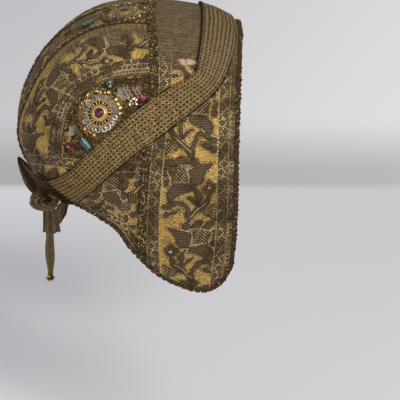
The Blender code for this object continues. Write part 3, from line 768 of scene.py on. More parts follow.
POD = ((-9.0, 16.9), (-4.0, 16.4), (0.7, 17.1), (0.9, 20.4), (-3.0, 22.0), (-7.2, 24.3),
       (-9.8, 27.0), (-12.0, 27.4), (-12.6, 22.0), (-11.2, 19.2))
BASKET = ((-10.2, 7.2), (-1.6, 7.2), (-1.4, 14.9), (-9.6, 15.4))
TRELLIS = ((7.0, 33.0), (13.0, 30.2), (15.0, 29.2), (15.0, 39.6), (12.4, 38.2), (7.6, 35.4))
# Buds and leaves of the lower strip alone, from its upper edge and from the band
LOWER_BUDS = (
    (7.9, 15.3, 2.0, 1.8, 0), (8.2, 6.5, 1.7, 1.8, 0), (15.0, 11.6, 2.2, 1.6, 0),
    (13.6, 3.2, 1.7, 1.7, 0), (22.0, 5.0, 3.4, 3.2, 20), (32.6, 4.8, 2.0, 2.0, 0),
    (34.6, 9.6, 2.2, 1.8, 0), (29.4, 19.6, 1.5, 1.6, 0), (25.8, 24.9, 2.2, 1.3, 30),
    (20.4, 27.5, 2.0, 1.6, 0), (14.8, 23.6, 2.0, 2.0, 0), (40.0, 5.6, 1.4, 2.8, 0),
    (33.4, 14.4, 1.2, 1.3, 0), (37.4, 10.6, 1.1, 1.5, 30))
LOWER_NET = ((24.6, 6.0), (30.4, 6.8), (29.8, 13.0), (25.0, 12.2))
# Pale lines inside the figures: across, down
VEINS = (
    ((-11.4, 6.6), (-12.2, 9.0), (-11.4, 12.0), (-10.6, 15.4)),
    ((-0.9, 7.4), (-1.2, 11.0), (-0.8, 14.8)),
    ((-9.4, 15.6), (-5.0, 15.2), (-1.2, 15.6)),
    ((-0.4, 37.0), (4.0, 32.4), (8.6, 28.2)),
    ((10.4, 18.6), (10.6, 20.6)), ((9.6, 19.8), (11.6, 19.4)),
)


def segment_distance(a, b, start, end, r0=0.0, r1=0.0):
    """Distance to a tapering bar, less than zero inside it."""
    along = np.array(end, float) - np.array(start, float)
    t = np.clip(((a - start[0]) * along[0] + (b - start[1]) * along[1]) / (along @ along), 0, 1)
    return np.hypot(a - start[0] - t * along[0], b - start[1] - t * along[1]) - (r0 + t * (r1 - r0))


def chain_distance(a, b, chain):
    parts = [segment_distance(a, b, p[:2], q[:2], p[2], q[2]) for p, q in zip(chain, chain[1:])]
    return np.min(parts, axis=0)


def oval_distance(a, b, oval):
    x, y, half_a, half_b, turn = oval
    c, s = math.cos(math.radians(turn)), math.sin(math.radians(turn))
    u = ((a - x) * c + (b - y) * s) / half_a
    v = ((b - y) * c - (a - x) * s) / half_b
    return (np.hypot(u, v) - 1) * min(half_a, half_b)


def outline_distance(a, b, corners):
    """Distance to a closed outline, less than zero inside it."""
    corners = np.array(corners, float)
    apart = np.full(a.shape, 1e9)
    inside = np.zeros(a.shape, bool)
    for p, q in zip(corners, np.roll(corners, -1, axis=0)):
        apart = np.minimum(apart, segment_distance(a, b, p, q))
        crosses = (p[1] > b) != (q[1] > b)
        slope = (q[0] - p[0]) / (q[1] - p[1] if q[1] != p[1] else 1e-9)
        inside ^= crosses & (a < p[0] + slope * (b - p[1]))
    return np.where(inside, -apart, apart)


# A distance that is past every figure
FAR = 9.0


def figures(a, b):
    """Distances to the dark figures, to their netted parts and to the pale lines."""
    figure, net, pale = (np.full(a.shape, FAR) for _ in range(3))
    for step in (-1, 0, 1):
        here = np.floor(b / REPEAT) + step
        down = b - here * REPEAT
        turned_a = np.where(np.mod(here, 2) == 0, a, -a)
        dark = [oval_distance(turned_a, down, oval) for oval in OVALS]
        dark += [chain_distance(turned_a, down, stem) for stem in STEMS]
        dark += [outline_distance(turned_a, down, outline) for outline in (WING, POD)]
        netted = [outline_distance(turned_a, down, outline) for outline in (BASKET, TRELLIS)]
        lines = [segment_distance(turned_a, down, *ends) for vein in VEINS for ends in zip(vein, vein[1:])]
        figure = np.min([figure, *dark], axis=0)
        net = np.min([net, *netted], axis=0)
        pale = np.minimum(pale, np.min(lines, axis=0) - 0.3)
    return np.minimum(figure, net), net, pale


def add_vine(marks, w, b, low, high, pitch):
    """A dark border between two gold lines, with a wavy stem and a bud in each bend."""
    middle = (low + high) / 2
    sway = (high - low) * 0.23
    turn = 2 * math.pi * b / pitch
    slope = sway * 2 * math.pi / pitch * np.cos(turn)
    stem = np.abs(w - middle - sway * np.sin(turn)) / np.sqrt(1 + slope ** 2) - 0.14
    lines = np.minimum(np.abs(w - low), np.abs(w - high)) - 0.22
    bud = np.full(w.shape, FAR)
    for place, sense in ((0.25, -1), (0.75, 1)):
        across = w - middle - (high - low) * 0.16 * sense
        along = np.mod(b / pitch - place + 0.5, 1) * pitch - pitch / 2
        reach = np.hypot(across, along)
        petals = np.cos(4 * np.arctan2(along, across))
        bud = np.minimum(bud, reach - pitch * (0.185 + 0.035 * petals))
        stem = np.minimum(stem, np.abs(reach - 0.1 * pitch) + 0.5 * (petals + 1) - 0.24)
    lay_border(marks, w, high, bud, np.minimum(stem, lines))


def add_rows(marks, w, b, levels, pitch):
    """A dark border of gold lines with a row of small outlined dots between each two."""
    line = np.min([np.abs(w - level) for level in levels], axis=0) - 0.12
    dots = np.full(w.shape, FAR)
    for k, (low, high) in enumerate(zip(levels, levels[1:])):
        step = pitch * (0.8 + 0.35 * k)
        place = np.mod(b / step, 1) * step - step / 2
        spot = np.hypot((w - (low + high) / 2) * 1.1, place)
        dots = np.minimum(dots, spot - step * 0.4)
        line = np.min([line, np.abs(spot - step * 0.42) - 0.02, spot - 0.3], axis=0)
    lay_border(marks, w, levels[-1], dots, line)


def lay_border(marks, w, high, figure, thread):
    """Put a border's marks over the field's, up to its highest line."""
    beside = w < high + 0.6
    marks["figure"] = np.where(w < high, figure, marks["figure"])
    marks["net"] = np.where(beside, FAR, marks["net"])
    marks["thread"] = np.where(beside, thread, marks["thread"])
    marks["border"] = np.maximum(marks["border"], smoothstep(high + 0.1, high - 0.4, w))


# Vine borders, from an edge of the panel: their low line, their high line and their pitch
BAND_REAR_VINE = (2.8, 9.5, 9.4)
BAND_FRONT_VINE = (4.6, 10.2, 9.4)
LOWER_TOP_VINE = (0.9, 6.4, 6.8)
LOWER_HEM_VINE = (0.8, 5.6, 5.4)
# Borders with rows of dots: the lines between the rows, and the pitch
BAND_FRONT_ROWS = ((0.7, 4.3), 3.2)
UPPER_ROWS = ((2.0, 4.6, 7.6, 11.2), 2.9)
# How far the woven lines wander
WANDER = 0.4
# Where the figures of each panel have their middle, across and along it
BAND_FIELD = (23.0, 98.0)
UPPER_FIELD = (20.5, 8.0)
LOWER_FIELD = (18.5, 6.0)
CROWN_FIELD = (0.0, -10.0)
# The x at which distances down the band are measured
BAND_MIDDLE_X = 22.0
# How far the figures and the pale threads stand out of the cloth
FIGURE_RISE = 0.22
THREAD_RISE = 0.12
# A patch of bare pale threads beside the ribbon: x and distance down the band, then half sizes
TORN_AT = (22.5, 44.6)
TORN_HALF = (5.2, 1.7)


def woven(across, along, middle):
    """The marks of the figured field, whose lines wander a little as hand-drawn ones do."""
    a, b = across - middle[0], along - middle[1]
    spots = np.stack([a, b, 0 * a], -1)
    figure, net, pale = figures(a + WANDER * ripple(spots, 7.0, 41), b + WANDER * ripple(spots, 8.0, 42))
    blank = {key: 0 * a for key in ("worn", "shade_under_ribbon", "border", "frayed", "painted_shade")}
    return {"figure": figure, "net": net, "thread": pale, **blank}


def cloth(name, node, grid, weave, marks, relief, material=BROCADE, slot="brocade"):
    """A closed cloth panel: a fine outer face with woven relief and a plain inner face."""
    normal = head_normal(grid)
    outer = grid + relief[..., None] * normal
    inner = (grid - CLOTH * normal)[::COARSE, ::COARSE]
    rows, columns = grid.shape[:2]
    inner_rows, inner_columns = inner.shape[:2]
    sense = np.cross(grid[1, 0] - grid[0, 0], grid[0, 1] - grid[0, 0]) @ normal[0, 0] > 0
    top = grid_faces(rows, columns, flip=sense).tolist()
    under = grid_faces(inner_rows, inner_columns, rows * columns, flip=not sense).tolist()
    fine = np.arange(rows * columns).reshape(rows, columns)
    rough = rows * columns + np.arange(inner_rows * inner_columns).reshape(inner_rows, inner_columns)
    walls = []
    for edge, foot, flip in ((fine[0], rough[0], sense), (fine[-1], rough[-1], not sense),
                             (fine[:, 0], rough[:, 0], not sense), (fine[:, -1], rough[:, -1], sense)):
        for k in range(len(foot) - 1):
            face = [foot[k + 1], foot[k], *edge[k * COARSE:(k + 1) * COARSE + 1]]
            walls.append(face[::-1] if flip else face)
    spare = inner_rows * inner_columns
    attributes = {key: np.append(value, np.zeros(spare)) for key, value in marks.items()}
    flat = np.stack([*weave, 0 * weave[0]], -1).reshape(-1, 3)
    attributes["weave"] = np.concatenate([flat, np.zeros((spare, 3))])
    points = np.concatenate([outer.reshape(-1, 3), inner.reshape(-1, 3)])
    sides = [0] * len(top) + [1] * len(under) + [0] * len(walls)
    add_mesh(name, points, top + under + walls, [material, LINING], slot, node, attributes, sides)


def raised(marks, points):
    """Relief of the woven figures, softened where the cloth is worn, with slight creases."""
    body = FIGURE_RISE * smoothstep(0.25, -0.35, marks["figure"])
    body = body + THREAD_RISE * smoothstep(0.2, -0.2, marks["thread"])
    creases = 0.12 * ripple(points, 22.0, 3) + 0.05 * ripple(points, 6.0, 4)
    return body * (1 - 0.8 * marks["worn"]) + creases


def whole(length):
    """Points along a length, with a whole number of coarse cells between them."""
    return COARSE * int(round(length / CELL / COARSE)) + 1


def degrees_round(points):
    return np.degrees(np.arctan2(np.abs(points[..., 1]), points[..., 2] - HEAD_CENTRE[2]))


def band_run(points):
    """Distance down the band from the top of the head."""
    degrees = np.linspace(0, 140, 281)
    run = lengths(station(np.full(281, BAND_MIDDLE_X), degrees))
    return np.interp(degrees_round(points), degrees, run)


def near_ribbon(points):
    """1 under the tie ribbon and 0 away from it."""
    front, rear = ribbon_edges(120)
    share = np.linspace(0.04, 0.96, 24)[None, :, None]
    cover = (front[:, None] * (1 - share) + rear[:, None] * share).reshape(-1, 3)
    flat = points.reshape(-1, 3) * 1.0
    flat[:, 1] = -np.abs(flat[:, 1])
    pieces = np.array_split(flat, len(flat) // 4000 + 1)
    apart = [((piece[:, None] - cover[None]) ** 2).sum(-1).min(1) for piece in pieces]
    return smoothstep(2.6, 1.4, np.sqrt(np.concatenate(apart))).reshape(points.shape[:-1])


def ribbon_edges(count):
    """The two edges of the right half of the tie ribbon, from the top to the knot."""
    front = np.concatenate([station(*RIBBON_SECTIONS[:, :2].T), RIBBON_FREE[:, :3]])
    rear = np.concatenate([station(*RIBBON_SECTIONS[:, 2:].T), RIBBON_FREE[:, 3:]])
    return curve(front, count), curve(rear, count)


def add_front_band():
    top = station(np.linspace(BAND_SECTIONS[0, 1], BAND_SECTIONS[0, 2], 60), 0)
    rear = band_line(1, 0, BAND_END[0, 1], 200)
    front = band_line(2, 0, BAND_END[-1, 1], 200)
    trims = (0, EDGE_TRIM, EDGE_TRIM, SEAM_TRIM)
    right = panel(top, band_bottom(200), rear, front, trims, whole(50), whole(172))
    grid = np.concatenate([right[::-1], mirrored(right[1:])])
    run = band_run(grid)
    degrees = np.clip(degrees_round(grid), 0, 135)
    from_rear = grid[..., 0] - band_x(degrees, 1)
    from_front = band_x(degrees, 2) - grid[..., 0]
    marks = woven(grid[..., 0], run, BAND_FIELD)
    add_vine(marks, from_rear, run, *BAND_REAR_VINE)
    add_vine(marks, from_front, run + 2.0, *BAND_FRONT_VINE)
    add_rows(marks, from_front, run, *BAND_FRONT_ROWS)
    marks["worn"] = 0.92 * smoothstep(50, 36, run + 3.0 * ripple(grid, 7.0, 8))
    torn = np.hypot((grid[..., 0] - TORN_AT[0]) / TORN_HALF[0], (run - TORN_AT[1]) / TORN_HALF[1])
    marks["frayed"] = smoothstep(1.25, 0.7, torn + 0.25 * ripple(grid, 4.0, 9))
    # Painted shade, darker towards the lower end of the flap
    marks["painted_shade"] = 0.14 * smoothstep(95, 140, run)
    # Painted shade under the tie ribbon
    marks["shade_under_ribbon"] = near_ribbon(grid)
    cloth("front_band_brocade", "front_band", grid, (grid[..., 0], run), marks, raised(marks, grid))


def strip_places(grid):
    """Distance across and along each point of a strip's grid, in millimetres."""
    rows, columns = grid.shape[:2]
    steps = np.linalg.norm(np.diff(grid, axis=0), axis=2)
    across = np.concatenate([np.zeros((1, columns)), np.cumsum(steps, axis=0)])
    return across, lengths(grid[rows // 2]) + 0 * across


def side_grids():
    """Fine grids of the three panels of the right side."""
    border = drawn_line(BORDER_LINE, 200)
    low = drawn_line(LOWER_LINE, 200, LOWER_START)
    corner = np.argmin(np.linalg.norm(low - border[-1], axis=1))
    turn = np.argmin(np.linalg.norm(border - station(*GROUND_CORNER), axis=1))
    crown = crown_seam(CROWN_START, LOWER_START, 200)
    corners = (CROWN_CORNER, BORDER_LINE[0, 1], LOWER_LINE[0, 1], HEM_LINE[0, 1])
    beside_upper, beside_ground, beside_lower = [
        band_line(1, start, end, 60) for start, end in zip(corners, corners[1:])]
    upper = panel(crown, border, beside_upper, low[corner:][::-1],
                  (SEAM_TRIM, JOINT_TRIM, SEAM_TRIM, SEAM_TRIM), whole(104), whole(48))
    ground = panel(border[:turn + 1], low[:corner + 1], beside_ground, border[turn:],
                   (SEAM_TRIM, SEAM_TRIM, JOINT_TRIM, SEAM_TRIM), whole(47), whole(44))
    lower = panel(low, hem_line(200), beside_lower, crown_seam(LOWER_START, CROWN_END, 60),
                  (JOINT_TRIM, SEAM_TRIM, EDGE_TRIM, SEAM_TRIM), whole(98), whole(40))
    return upper, ground, lower


def upper_marks(grid):
    """The upper strip: figures, a double border below, wear along the crown, and painted shade towards the
    back and under the tie ribbon.
    """
    across, along = strip_places(grid)
    marks = woven(across, along, UPPER_FIELD)
    add_rows(marks, across[-1] - across, along, *UPPER_ROWS)
    crown = smoothstep(17, 6, across + 4.0 * ripple(grid, 10.0, 11))
    marks["worn"] = 0.85 * crown * smoothstep(78, 40, along)
    # Painted shade, darker towards the back of the strip
    marks["painted_shade"] = 0.2 * smoothstep(44, 96, along)
    # Painted shade under the tie ribbon
    marks["shade_under_ribbon"] = near_ribbon(grid)
    return marks


def from_hem(grid):
    """How far each point of a strip is from its last row, and how far along that row."""
    hem = evenly(grid[-1], 400)
    run = lengths(hem)
    apart = [np.linalg.norm(row[:, None] - hem[None], axis=-1) for row in grid]
    return np.array([gap.min(1) for gap in apart]), np.array([run[gap.argmin(1)] for gap in apart])


def lower_marks(grid):
    """The lower strip: figures and buds, a border above and one along the hem, and painted shade over it,
    more towards the back, and under the tie ribbon.
    """
    across, along = strip_places(grid)
    marks = woven(across, along, LOWER_FIELD)
    for bud in LOWER_BUDS:
        marks["figure"] = np.minimum(marks["figure"], oval_distance(across, along, bud))
    marks["net"] = np.minimum(marks["net"], outline_distance(across, along, LOWER_NET))
    marks["figure"] = np.minimum(marks["figure"], marks["net"])
    add_vine(marks, across, along, *LOWER_TOP_VINE)
    add_vine(marks, *from_hem(grid), *LOWER_HEM_VINE)
    marks["worn"] = 0.5 * smoothstep(60, 85, along + 4.0 * ripple(grid, 12.0, 12))
    # Painted shade over the whole strip, darker towards the back
    marks["painted_shade"] = 0.1 + 0.25 * smoothstep(40, 80, along)
    # Painted shade under the tie ribbon
    marks["shade_under_ribbon"] = near_ribbon(grid)
    return marks


def add_side_panel(name, kind, grid, marks, relief, *look):
    """The same panel on the right side and, mirrored, on the left."""
    for side, mirror in SIDES:
        placed = mirrored(grid) if mirror else grid
        cloth(f"{name}_{kind}_{side}", f"{name}_{side}", placed, strip_places(grid), marks, relief, *look)


def add_sides():
    upper, ground, lower = side_grids()
    marks = upper_marks(upper)
    add_side_panel("upper_strip", "brocade", upper, marks, raised(marks, upper))
    add_side_panel("medallion_ground", "weave", ground, {}, 0.15 * ripple(ground, 9.0, 5), GROUND, "ground")
    marks = lower_marks(lower)
    add_side_panel("lower_strip", "brocade", lower, marks, raised(marks, lower))


def add_crown_strip():
    right = evenly(crown_seam(CROWN_START, CROWN_END, 90), whole(149))
    share = np.linspace(0, 1, whole(32))[:, None, None]
    grid = on_head(right[None] * (1 - share) + mirrored(right)[None] * share)
    trimmed = []
    for column in np.swapaxes(grid, 0, 1):
        width = lengths(column)[-1]
        trimmed.append(read_line(column, np.linspace(SEAM_TRIM, width - SEAM_TRIM, len(column))))
    grid = np.stack(trimmed, 1)
    run = lengths(grid[len(grid) // 2])[-1]
    keep = np.linspace(SEAM_TRIM, run - EDGE_TRIM, grid.shape[1])
    grid = np.stack([read_line(row, keep * lengths(row)[-1] / run) for row in grid])
    along = strip_places(grid)[1]
    marks = woven(grid[..., 1] * 0.95, along, CROWN_FIELD)
    bare = 0.25 * smoothstep(0.2, 1.0, np.abs(ripple(grid, 30.0, 14)))
    marks["worn"] = 0.78 - 0.35 * smoothstep(45, 75, along) - bare
    cloth("crown_strip_brocade", "crown_strip", grid, (grid[..., 1], along), marks, raised(marks, grid))


# Looped braid along the seams and the edge

# The pitch, half width, height and thread radius of each braid, and its share of picots
BAND_BRAID = (2.3, 2.1, 0.35, 0.42, 2.0)
CROWN_BRAID = (2.2, 1.0, 0.3, 0.36, 0.9)
BORDER_BRAID = (2.2, 0.9, 0.3, 0.34, 1.2)
EDGE_BRAID = (2.5, 1.1, 0.1, 0.4, 0.3)
# The thread wound round the edge: its pitch, its distance from the cord's middle, its radius,
# how deep the middle lies, and how far apart its loops stand
WRAP_PITCH = 1.5
WRAP_REACH = 1.1
WRAP_WIRE = 0.38
WRAP_DEPTH = -0.9
LOOP_SPACING = 3.1
# The stretch of hem beside the knot where the braid bunches up
NAPE_LOOPS_FROM = np.array([-59.6, -44.6, -76.2])
NAPE_LOOPS_TO = np.array([-53.4, -52.4, -78.6])
NAPE_LOOPS = 9


def along_line(line, at, reach):
    """Places at distances along a line on the cloth, with their ways out, ahead and sideways."""
    run = lengths(line)
    out = read_at(run, head_normal(line), at)
    before = read_line(line, np.maximum(at - reach, 0))
    ahead = unit(read_line(line, np.minimum(at + reach, run[-1])) - before)
    return read_line(line, at), out, ahead, np.cross(out, ahead)


def add_braid(name, line, pitch, half_width, height, wire, share):
    """Two dark threads that loop from side to side, a little unevenly, under pale picots."""
    total = lengths(line)[-1]
    count = max(int(round(total / pitch)), 1)
    turn = np.linspace(0, 2 * math.pi * count, count * 12 + 1)
    threads = Bundle()
    for phase, tone in ((0.0, 0.3), (math.pi, 0.55)):
        at = turn / (2 * math.pi) * total / count + 0.3 * pitch * np.sin(2 * turn + phase)
        at = np.clip(at + 0.22 * pitch * np.sin(turn * 0.37 + phase), 0, total)
        centre, out, _, side = along_line(line, at, 0.4)
        uneven = 1 + 0.16 * np.sin(turn * 0.61 + 2 * phase) + 0.1 * np.sin(turn * 0.23)
        sway = half_width * uneven * np.cos(turn + phase)
        rise = height + 1.1 * wire * np.sin(2 * turn + phase)
        threads.tube(centre + side * sway[:, None] + out * rise[:, None], wire, out, tone)
    threads.build(name, GIMP, "gimp")
    add_picots(name + "_picots", line, total / pitch * 2 * share, half_width, height)


def add_picots(name, line, count, half_width, height):
    """Small pale knots and curls scattered over a braid."""
    chance = np.random.default_rng(len(name))
    at = np.sort(chance.uniform(0, lengths(line)[-1], int(count)))
    centre, out, ahead, side = along_line(line, at, 0.5)
    sway = chance.uniform(-1, 1, len(at)) * half_width
    spots = centre + side * sway[:, None] + out * (height + 0.45)
    dots = Bundle()
    for k, spot in enumerate(spots):
        tone = chance.uniform(-0.1, 0.8)
        lean = chance.uniform(-1.2, 1.2)
        way = (ahead[k] * math.cos(lean) + side[k] * math.sin(lean)) * chance.uniform(0.35, 0.75)
        dots.bend([spot - way, spot + out[k] * 0.35, spot + way], 5, 0.24, out[k], tone)
    dots.build(name, GIMP_LIGHT, "gimp")


def add_edge_wrap(line):
    """The dark thread wound round the edge cord, with small loops that stand out from it."""
    chance = np.random.default_rng(77)
    total = lengths(line)[-1]
    turns = int(total / WRAP_PITCH)
    turn = np.linspace(0, 2 * math.pi * turns, turns * 9)
    at = turn / (2 * math.pi) * WRAP_PITCH
    centre, out, _, side = along_line(line, at, 0.5)
    swell = WRAP_REACH * (1 + 0.12 * np.sin(at / 3.1) + 0.1 * np.sin(at / 1.3))
    ring = side * (swell * np.cos(turn))[:, None] + out * (swell * np.sin(turn) + WRAP_DEPTH)[:, None]
    wrap = Bundle()
    wrap.tube(centre + ring, WRAP_WIRE, out, tone=0.35)
    for start in np.arange(2.0, total - 3.0, LOOP_SPACING):
        a, b = start + chance.uniform(-0.5, 0.5), start + chance.uniform(1.2, 2.6)
        spots = read_line(line, np.array([a, (a + b) / 2, b]))
        k = int(np.searchsorted(at, a))
        reach = np.array([0.9, chance.uniform(1.4, 2.0), 0.9])
        loop = spots + side[k] * reach[:, None] + out[k] * (WRAP_DEPTH + chance.uniform(-0.6, 0.8))
        wrap.bend(loop, 7, WRAP_WIRE, out[k], chance.uniform(0.1, 0.8))
    wrap.build("edging_wrap", GIMP, "gimp")


def add_nape_loops():
    """Dark braid that bunches up where the ribbon turns under the hem."""
    chance = np.random.default_rng(19)
    turn = np.linspace(0, math.pi, 9)[:, None]
    for side, mirror in SIDES:
        loops = Bundle()
        for k in range(NAPE_LOOPS):
            share = (k + 0.5) / NAPE_LOOPS
            seat = on_head(NAPE_LOOPS_FROM * (1 - share) + NAPE_LOOPS_TO * share)
            out = head_normal(seat)
            way = chance.normal(size=3)
            way = unit(way - out * (way @ out))
            reach = chance.uniform(0.9, 1.7)
            line = seat + way * reach * np.cos(turn) + out * (0.4 + chance.uniform(2.2, 3.4) * np.sin(turn))
            loops.tube(line, 0.5, np.cross(way, out), chance.uniform(0.0, 0.5), sides=5)
        loops.build("nape_loops_" + side, GIMP, "gimp", mirror=mirror)


def add_seams():
    over = band_line(1, 0, HEM_LINE[0, 1] - 1.0, 200)
    over = np.concatenate([over[::-1], mirrored(over[1:])])
    add_braid("band_seam_braid", over, *BAND_BRAID)
    crown = evenly(crown_seam(CROWN_START, CROWN_END, 90), 200)
    border = evenly(drawn_line(BORDER_LINE, 200), 120)
    for side, mirror in SIDES:
        if mirror:
            crown, border = mirrored(crown), mirrored(border)
        add_braid("crown_seam_braid_" + side, crown, *CROWN_BRAID)
        add_braid("border_seam_braid_" + side, border, *BORDER_BRAID)
    edge = edge_loop(600)
    edge = np.concatenate([edge, edge[:1]])
    add_edge_wrap(edge)
    add_braid("edging_braid", edge, *EDGE_BRAID)


# The openwork tie ribbon

RIBBON_ROWS = 8
RIBBON_WIDTH = 17.5
# How far inside the knot the ribbon ends
RIBBON_END = 1.5
HOLE_PITCH = 2.4
# Where the mesh lines run: shares of one row across, and of one hole's pitch along
ROW_LINES = (0.0, 0.17, 0.33, 0.5, 0.67, 0.83)
PITCH_LINES = (0.0, 0.13, 0.26, 0.5, 0.74, 0.87)
HOLE_SHARES = (0.3, 0.7)
RIBBON_LIFT = 1.0
RIBBON_EDGE_LIFT = 0.35
HOLES_START = 17.0
HOLES_END = 57.0
# A point on the hem where the ribbon turns under it, and the way out of the shade
TURN_AT = np.array([-45.4, -58.6, -82.5])
TURN_WAY = np.array([0.17, -0.35, 0.92])


def mesh_lines(count, shares):
    """Places of mesh lines: some shares of each of a number of cells, and the end."""
    return np.append([k + share for k in range(count) for share in shares], count)


def add_tie_ribbon():
    """Lengthwise cords with rows of holes between them, from the top to the knot."""
    phase = np.concatenate([[0.0], mesh_lines(RIBBON_ROWS, ROW_LINES), [RIBBON_ROWS]])
    share = phase / RIBBON_ROWS
    front, rear = ribbon_edges(2400)
    run = lengths((front + rear) / 2)
    total = run[-1]
    pitches = int(total / HOLE_PITCH)
    pitch_lines = mesh_lines(pitches, PITCH_LINES)
    along = pitch_lines[:, None] / pitches * (total - RIBBON_END)
    along = along + 0.18 * phase * smoothstep(0, 9, along)

    # The smooth ribbon: laid on the head, then free of it towards the knot
    straight = read_at(run, front, along) * (1 - share[:, None]) + read_at(run, rear, along) * share[:, None]
    free = 0.6 * smoothstep(total - 64, total - 34, along)[..., None]
    base = out_of_head(straight) * (1 - free) + straight * free
    inner = base[:, 1:-1]
    out = unit(np.cross(np.gradient(inner, axis=0), np.gradient(inner, axis=1)))
    out *= np.sign(np.sum(out * (inner - HEAD_CENTRE)))
    out = np.concatenate([out[:, :1], out, out[:, -1:]], axis=1)

    # Its relief: cords that twist, a raised rear edge, and a slanting crease on the left half
    cord = 0.5 + 0.5 * np.cos(2 * math.pi * phase)
    twist = np.sin(2 * math.pi * (along / HOLE_PITCH * 2 + phase * 0.5))
    opened = smoothstep(HOLES_START - 8, HOLES_START + 40, along)
    rise = RIBBON_LIFT + 0.42 * cord + 0.1 * twist * cord * opened + 0.14 * ripple(base, 15.0, 21)
    rise = rise + 0.7 * np.exp(-((share - 0.96) / 0.06) ** 2) * smoothstep(75, 40, along)
    rise[:, [0, -1]] = RIBBON_EDGE_LIFT
    points = base + rise[..., None] * out
    slant = share - 0.5 - 0.015 * (along - 11.0)
    crease = np.exp(-(slant / 0.06) ** 2) * smoothstep(4, 9, along) * smoothstep(22, 17, along)
    folded = points + 0.8 * crease[..., None] * out

    # The holes
    across_share = np.mod(phase, 1)
    along_share = np.mod(pitch_lines, 1)
    low, high = HOLE_SHARES
    wide = (across_share[:-1] > low) & (across_share[:-1] < high - 0.1)
    long = (along_share[:-1] > low - 0.1) & (along_share[:-1] < high)
    open_run = (along[:-1, :-1] > HOLES_START) & (along[:-1, :-1] < total - HOLES_END)
    cells = grid_faces(*along.shape)[~(long[:, None] & wide & open_run).ravel()]

    # Painted shade in the grooves between the cords and in a spot at the middle of each hole's place, and
    # painted shade under the hem and beside the knot
    middle = np.exp(-((across_share - 0.5) / 0.14) ** 2) * np.exp(-((along_share - 0.5) / 0.2) ** 2)[:, None]
    groove_shade = np.maximum(0.85 * (1 - cord) * (1 - opened), 0.55 * (1 - cord) + middle)
    below = (points - TURN_AT) @ TURN_WAY + 0.5 * ripple(points, 9.0, 23)
    deep = 0.97 - 0.25 * smoothstep(0.5, 1.0, share) - 0.12 * cord
    deep = deep - 0.25 * smoothstep(total - 14, total, along)
    shade = deep * smoothstep(total - 75, total - 60, along) * smoothstep(0.8, -1.6, below)
    # Painted shadow along the raised rear edge towards the top
    shade = np.maximum(shade, 0.75 * smoothstep(0.965, 0.99, share) * smoothstep(60, 40, along))
    # Painted shade in the slanting crease of the left half
    crease_shade = np.maximum(shade, 0.8 * crease * smoothstep(0.02, -0.03, slant + 0.03))
    glint = smoothstep(70, 85, along) * smoothstep(140, 115, along)
    weave = np.stack([share * RIBBON_WIDTH + 0 * along, along, 0 * along], -1)
    halves = (("right", points, cells[:, ::-1], shade), ("left", mirrored(folded), cells, crease_shade))
    for side, placed, faces, shaded in halves:
        marks = {"weave": weave, "groove_shade": groove_shade, "shade": shaded, "glint": glint}
        add_mesh("tie_ribbon_openwork_" + side, placed, faces, [RIBBON], "ribbon", "tie_ribbon", marks)


# Medallions and applied pieces, each made flat round its own centre with Z out of the cloth

UP = (0.0, 0.0, 1.0)
MEDALLION_AT = (-25.9, 58.6)
CROWN_MEDALLION_ANGLE = 100.6
# How much darker the threads of the crown medallion are
CROWN_DULL = 0.25
# Where the spangles and the loose strands run, in degrees round a medallion
SPANGLE_ARC = (-4.0, 260.0)
STRAND_ARC = (118, 240)
FULL_RING = (0, 360)
BEZEL_OUTLINE = (
    (4.8, 0.3), (4.75, 1.1), (4.6, 1.6), (4.3, 1.85), (3.9, 1.68), (3.55, 1.72), (3.3, 2.1),
    (2.95, 2.25), (2.65, 1.9), (2.6, 0.5))
SPANGLE_OUTLINE = (
    (0.12, -0.1), (0.55, 0.0), (0.9, 0.25), (1.05, 0.5), (1.1, 0.42), (0.95, 0.1), (0.6, -0.15),
    (0.12, -0.24))
SEQUIN_OUTLINE = ((0.1, 0.1), (0.58, 0.18), (0.64, 0.05), (0.1, 0.0))
# Radii at which the parts of a medallion lie, from its middle outwards
STONE = 2.58
LONG_GRAINS = 5.75
ROUND_GRAINS = 6.9
GAUZE_FROM = 6.5
GAUZE_TO = 10.8
SPANGLES = 11.7
COILS = 13.2
# Wire loops of a medallion: degrees, and how bright each is, a painted highlight on the loops that catch the
# light
WIRE_LOOPS = (
    (8, 0.3), (32, 0.2), (60, 0.35), (84, 0.1), (108, 0.3), (134, 0.8), (158, 0.3), (184, 0.2), (209, 0.75),
    (232, 0.4), (250, 0.6), (268, 0.5), (286, 0.95), (304, 0.9), (322, 1.1), (342, 1.1))
GAUZE_THREADS = 96


def polar(radius, degrees, height, centre=(0.0, 0.0)):
    turn = math.radians(degrees)
    return (centre[0] + radius * math.cos(turn), centre[1] + radius * math.sin(turn), height)


def open_ring(radius, wire, gap):
    """A wire bent to a C that opens towards -X."""
    turn = np.linspace(-math.pi + gap, math.pi - gap, 12)
    ring = Bundle()
    ring.tube(np.stack([radius * np.cos(turn), radius * np.sin(turn), 0 * turn], -1), wire, UP, sides=5)
    return ring.points[0], ring.faces


def gauze_fan(pleats, height, depth):
    """A pleated ring of fine mesh, which droops and opens its pleats outwards."""
    turn = np.linspace(0, 2 * math.pi, pleats * 4 + 1)
    radius = np.linspace(GAUZE_FROM, GAUZE_TO, 6)[:, None]
    wave = np.cos(pleats * turn)
    reach = radius * (1 + 0.03 * wave * (radius > GAUZE_TO - 0.1))
    outward = radius - GAUZE_FROM
    lift = height + depth * wave * (outward + 0.6) / (GAUZE_TO - GAUZE_FROM) - 0.25 * outward
    points = np.stack([reach * np.cos(turn), reach * np.sin(turn), np.maximum(lift, 0.25)], -1)
    return points.reshape(-1, 3), grid_faces(6, len(turn), flip=True)


def cabochon():
    """The round stone."""
    stone = Bundle()
    dome = [(STONE * math.cos(t), 1.3 + 1.65 * math.sin(t)) for t in np.linspace(0, math.pi / 2, 9)]
    stone.put(turned([(STONE, 0.4)] + dome, 32))
    return stone


